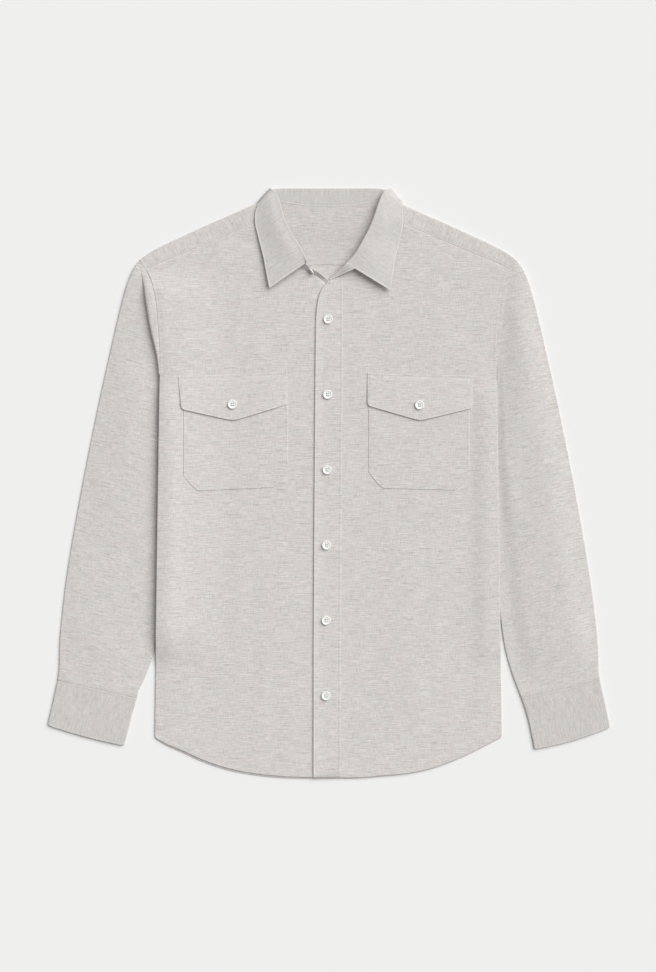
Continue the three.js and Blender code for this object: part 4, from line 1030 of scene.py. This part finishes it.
# Sections at each end that have no leaf, and the direction of the fold at the side of the neck.
FREE_SECTIONS = 3
ACROSS_FOLD = (0.728, 0.686)
STAND_STITCH = 1.9
LEAF_STITCH = 2.0


def collar_section(side, row, turn, in_front):
    """Neck, roll, edge and outward direction of one row of a table, turned by degrees from lying backward."""
    turn = math.radians(turn)
    out = np.array([side * ACROSS_FOLD[0], ACROSS_FOLD[1], 0]) * math.cos(turn) + np.array([0, 0, math.sin(turn)])
    if not in_front:
        centre = out * SHOULDER_FOLD + np.array([0, 0, COLLAR_TURN_HEIGHT])
        return [np.array([side * row[k], row[k + 1], 0]) + centre for k in (0, 2, 4)] + [out]
    neck_x, neck_y, roll_x, roll_y, edge_x, edge_y, roll_lift, leaf_lift = row
    past_placket = smooth(12.4, 18, neck_x) if side > 0 else 1
    neck_z = float(front_height(side * neck_x, neck_y)) + LAYER * (1 - past_placket)
    edge_z = float(front_height(side * edge_x, edge_y)) + leaf_lift
    places = [(neck_x, neck_y, neck_z), (roll_x, roll_y, neck_z + roll_lift), (edge_x, edge_y, edge_z)]
    return [np.array([side * x, y, z]) for x, y, z in places] + [out]


sections = np.array(
    [collar_section(-1, row, 90, True) for row in COLLAR_LEFT[::-1]]
    + [collar_section(-1, COLLAR_SIDE[-1], turn, False) for turn in (90, 45, 0, -45, -90)]
    + [collar_section(-1, row, -90, False) for row in COLLAR_BACK[:0:-1]]
    + [collar_section(1, row, -90, False) for row in COLLAR_BACK]
    + [collar_section(1, COLLAR_SIDE[1], turn, False) for turn in (-90, -45, 0, 45, 90)]
    + [collar_section(1, row, 90, True) for row in COLLAR_RIGHT]
)


def along_collar(first, last, count):
    """Neck, roll, edge and outward direction of evenly spaced sections between two rows of the table."""
    part = sections[first:last]
    reach = reach_along((part[:, 0] + part[:, 1]) / 2)
    at = shares(reach[-1], reach[-1] / count) * reach[-1]
    found = np.stack([
        np.stack([through(np.stack([reach, part[:, which, k]], axis=1))(at) for k in range(3)], axis=-1)
        for which in range(4)
    ], axis=1)
    found[:, 3] = unit(found[:, 3])
    return found, at


collar_finish = cloth_finish("slub_collaring", (0.622, 0.603, 0.583), 3.9, 0.68)
stand_sections, stand_at = along_collar(0, len(sections), 200)
neck, roll, _, outward = (stand_sections[:, k] for k in range(4))
height = np.linalg.norm(roll - neck, axis=1, keepdims=True)
left_free = (1 - smooth(0, 30, stand_at - 18))[:, None]
right_free = smooth(0, 2.5, stand_at - (stand_at[-1] - STAND_OUT))[:, None]
free = np.maximum(left_free, right_free)
behind = np.clip(-outward[:, 2:3], 0, 1)
top = 1 + mix(mix(FALL_SEAM - 7.5, 0.4, behind), 0, free) / np.maximum(height, 6)
from_end = stand_at[-1] - stand_at
rows = []
for share in shares(24, 3):
    place = mix(neck, roll, share * top) - outward * 1.2 * share * behind
    level = mix(neck[:, 2], roll[:, 2], mix(0.72 + 0.28 * share, 1, smooth(4, 24, from_end)))
    level = level + STAND_RISE * smooth(0, 30, from_end)
    place[:, 2] = mix(place[:, 2], level, right_free[:, 0])
    rows.append(place)
grid = np.stack(rows, axis=1)
up_away = run(grid, 1)
ends_away = np.minimum(stand_at, from_end)[:, None] + 0 * up_away
edge_away = np.minimum(up_away[:, -1:] - up_away, ends_away)
grid[..., 2] += topstitched(up_away, STAND_STITCH, 0.2, 0.28)
cut = np.stack([up_away, stand_at[:, None] + 0 * up_away], axis=-1)
# Painted highlight along the top edge and ends where the stand is free, and along the lower edge of its free end at
# right.
edge_highlight = free * highlight_falloff(edge_away) + 0.7 * right_free * highlight_falloff(up_away)
stand = shell("collar_stand_band", grid, cut, np.minimum(edge_highlight, 1), collar_finish)
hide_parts("collar_stand")

fall_sections, fall_at = along_collar(FREE_SECTIONS, len(sections) - FREE_SECTIONS, 130)
neck, roll, edge, outward = (fall_sections[:, k] for k in range(4))
beyond = unit(roll - neck)
front_share = np.clip(outward[:, 2:3], 0, 1)
ROLL_OPEN = {"left": 0.3, "right": 1.9}
fall_ends = np.minimum(fall_at, fall_at[-1] - fall_at)[:, None]
at_right = smooth(0.45, 0.55, fall_at / fall_at[-1])[:, None]
gap = COLLAR_LAYER + mix(ROLL_OPEN["left"], ROLL_OPEN["right"], at_right) * front_share * smooth(0, 30, fall_ends)
rows = [roll - beyond * depth for depth in (FALL_SEAM, 3.4, 1.7)]
for angle in np.radians(np.arange(0, 181, 18)):
    rows.append(roll + outward * gap / 2 * (1 - math.cos(angle)) + beyond * gap / 2 * math.sin(angle))
leaf_length = np.linalg.norm(edge - roll, axis=1, keepdims=True)
for share in shares(46, 3, start=False)[1:]:
    down = share * leaf_length
    crest = mix(1.9, 0.9, at_right) * smooth(0, 30, fall_ends) * smooth(0, 14, down) * (1 - smooth(14, 40, down))
    settle = mix(gap, COLLAR_LAYER, smooth(0, 0.6, share))
    rows.append(mix(roll, edge, share) + outward * (settle + crest * front_share))
grid = np.stack(rows, axis=1)
over = run(grid, 1)
edge_away = over[:, -1:] - over
ends_away = fall_ends + 0 * over
on_leaf = (np.arange(grid.shape[1]) > 13)[None]
away = np.where(on_leaf, np.minimum(edge_away, ends_away), 99)
grid[..., 2] += topstitched(away, LEAF_STITCH, 0.25) * front_share
cut = np.stack([over, fall_at[:, None] + 0 * over], axis=-1)
at_right_end = (fall_at > fall_at[-1] / 2)[:, None] & (ends_away < edge_away)
clear_of_stand = np.where(at_right_end, smooth(12, 18, over - 3 * COLLAR_LAYER), 1)
# Painted highlight along the leaf's edges and ends in front, kept off the part that lies on the stand.
edge_highlight = highlight_falloff(away) * clear_of_stand * smooth(0.6, 1, front_share)
fall = shell("collar_fall_leaf", grid, cut, edge_highlight, collar_finish)
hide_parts("collar_fall")


# Buttons. Pale four-hole buttons, turned from casein or resin with a rounded rim and a dished middle, sewn on
# with two bars of thread. Six close the placket, one closes each pocket flap and a small one the stand.
HOLE_RADIUS = 0.78
HOLE_OFFSET = 1.4
# Rings of the button (radius, height), from the underside round the rim to the dished middle.
BUTTON_RINGS = [(4.6, 0.0), (5.6, 0.35), (6.1, 1.0), (6.2, 1.6), (6.0, 2.15), (5.5, 2.4), (5.0, 2.32), (4.6, 2.0),
                (4.1, 1.72), (3.2, 1.62), (1.6, 1.6)]
BUTTON_SIDES, HOLE_SIDES = 48, 16
# How far the button lies over the middle of its cloth.
ON_TOP = CLOTH / 2 + 0.3
THREAD_RADIUS = 0.42
button_finish = bpy.data.materials.new("pale_resin")
button_finish.use_nodes = True
tree = button_finish.node_tree
shader = tree.nodes["Principled BSDF"]
coordinates = tree.nodes.new("ShaderNodeTexCoord")
veins = tree.nodes.new("ShaderNodeTexNoise")
veins.inputs["Scale"].default_value = 260
veins.inputs["Detail"].default_value = 3
tree.links.new(coordinates.outputs["Object"], veins.inputs["Vector"])
tint = tree.nodes.new("ShaderNodeValToRGB")
tint.color_ramp.elements[0].color = (0.86, 0.855, 0.83, 1)
tint.color_ramp.elements[1].color = (0.97, 0.965, 0.95, 1)
tree.links.new(veins.outputs[0], tint.inputs[0])
tree.links.new(tint.outputs[0], shader.inputs["Base Color"])
shader.inputs["Roughness"].default_value = 0.28
shader.inputs["Coat Weight"].default_value = 0.25
shader.inputs["Subsurface Weight"].default_value = 0.15
shader.inputs["Subsurface Scale"].default_value = 0.002

def turned(name, columns, rings, sides):
    """Object of upright turned solids with closed ends: their places (x, y), and rings of radius and height."""
    verts, faces = [], []
    for x, y in columns:
        base = len(verts)
        faces += ring_faces(len(rings), sides, base)
        last = base + (len(rings) - 1) * sides
        faces += [tuple(range(base, base + sides))[::-1], tuple(range(last, last + sides))]
        for radius, z in rings:
            angles = [2 * math.pi * k / sides for k in range(sides)]
            verts += [((x + radius * math.cos(a)) * MM, (y + radius * math.sin(a)) * MM, z * MM) for a in angles]
    mesh = bpy.data.meshes.new(name)
    mesh.from_pydata(verts, [], faces)
    solid = bpy.data.objects.new(name, mesh)
    scene.collection.objects.link(solid)
    return solid


blank = turned("button_blank", [(0, 0)], BUTTON_RINGS, BUTTON_SIDES)
holes = [(cx * HOLE_OFFSET, cy * HOLE_OFFSET) for cx, cy in ((-1, -1), (1, -1), (1, 1), (-1, 1))]
drill = turned("button_drill", holes, [(HOLE_RADIUS, -1), (HOLE_RADIUS, 4)], HOLE_SIDES)
cutter = blank.modifiers.new("holes", "BOOLEAN")
cutter.operation = "DIFFERENCE"
cutter.object = drill
cutter.solver = "EXACT"
bpy.context.view_layer.update()
button_mesh = bpy.data.meshes.new_from_object(blank.evaluated_get(bpy.context.evaluated_depsgraph_get()))
button_mesh.name = "button"
button_mesh.materials.clear()
button_mesh.materials.append(button_finish)
button_mesh.polygons.foreach_set("use_smooth", np.ones(len(button_mesh.polygons), bool))
button_mesh.set_sharp_from_angle(angle=math.radians(50))
bpy.data.objects.remove(blank)
bpy.data.objects.remove(drill)


# Two arched bars of thread through the holes.
thread_verts, thread_faces = [], []
THREAD_RINGS, THREAD_SIDES = 11, 8
for row in (-1, 1):
    thread_faces += ring_faces(THREAD_RINGS, THREAD_SIDES, len(thread_verts))
    for along in np.linspace(0, 1, THREAD_RINGS):
        x = mix(-HOLE_OFFSET - 0.15, HOLE_OFFSET + 0.15, along)
        z = 1.35 + 0.95 * max(0, math.sin(math.pi * along)) ** 0.5
        for k in range(THREAD_SIDES):
            angle = 2 * math.pi * k / THREAD_SIDES
            y = row * HOLE_OFFSET + THREAD_RADIUS * math.cos(angle)
            thread_verts.append(Vector((x, y, z + THREAD_RADIUS * math.sin(angle))) * MM)


def sew_button(name, node, place, facing, scale=1.0):
    """A button on the cloth at a place in mm, and the two bars of thread through its holes."""
    button = bpy.data.objects.new(name, button_mesh)
    scene.collection.objects.link(button)
    mesh = bpy.data.meshes.new(name + "_thread")
    mesh.from_pydata(thread_verts, [], thread_faces)
    mesh.uv_layers.new(name="cut")
    mesh.polygons.foreach_set("use_smooth", np.ones(len(mesh.polygons), bool))
    mesh.materials.append(thread_finish)
    thread = bpy.data.objects.new(name + "_thread", mesh)
    scene.collection.objects.link(thread)
    for piece in (button, thread):
        piece.location = Vector(place) * MM
        piece.rotation_mode = "QUATERNION"
        piece.rotation_quaternion = Vector(facing).to_track_quat("Z", "Y")
        piece.scale = (scale, scale, scale)
        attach(piece, "root")
    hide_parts(node)


for number in range(1, 7):
    y = 220 - 101.6 * (number - 1)
    x = float(placket_edge(min(y, PLACKET_BEND_Y))) + PLACKET_WIDTH / 2 - 1.4
    height = float(front_height(x, y)) + LAYER + ON_TOP
    sew_button(f"placket_disc_{number}", f"placket_button_{number}", (x, y, height), (0, 0, 1))
for name, pocket in POCKETS.items():
    x, y = pocket["button"]
    height = float(front_height(x, y)) + 2 * POCKET_STEP + FLAP_LIFT + ON_TOP
    sew_button("flap_disc_" + name, "flap_button_" + name, (x, y, height), (0, 0, 1))
sew_button("collar_disc", "collar_button", (-22.4, 285.6, 7), (-0.75, -0.62, 0.14), 0.8)


bpy.context.view_layer.update()
low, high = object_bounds()
{"cad": [list(cad_low), list(cad_high)], "visual": [list(low), list(high)]}
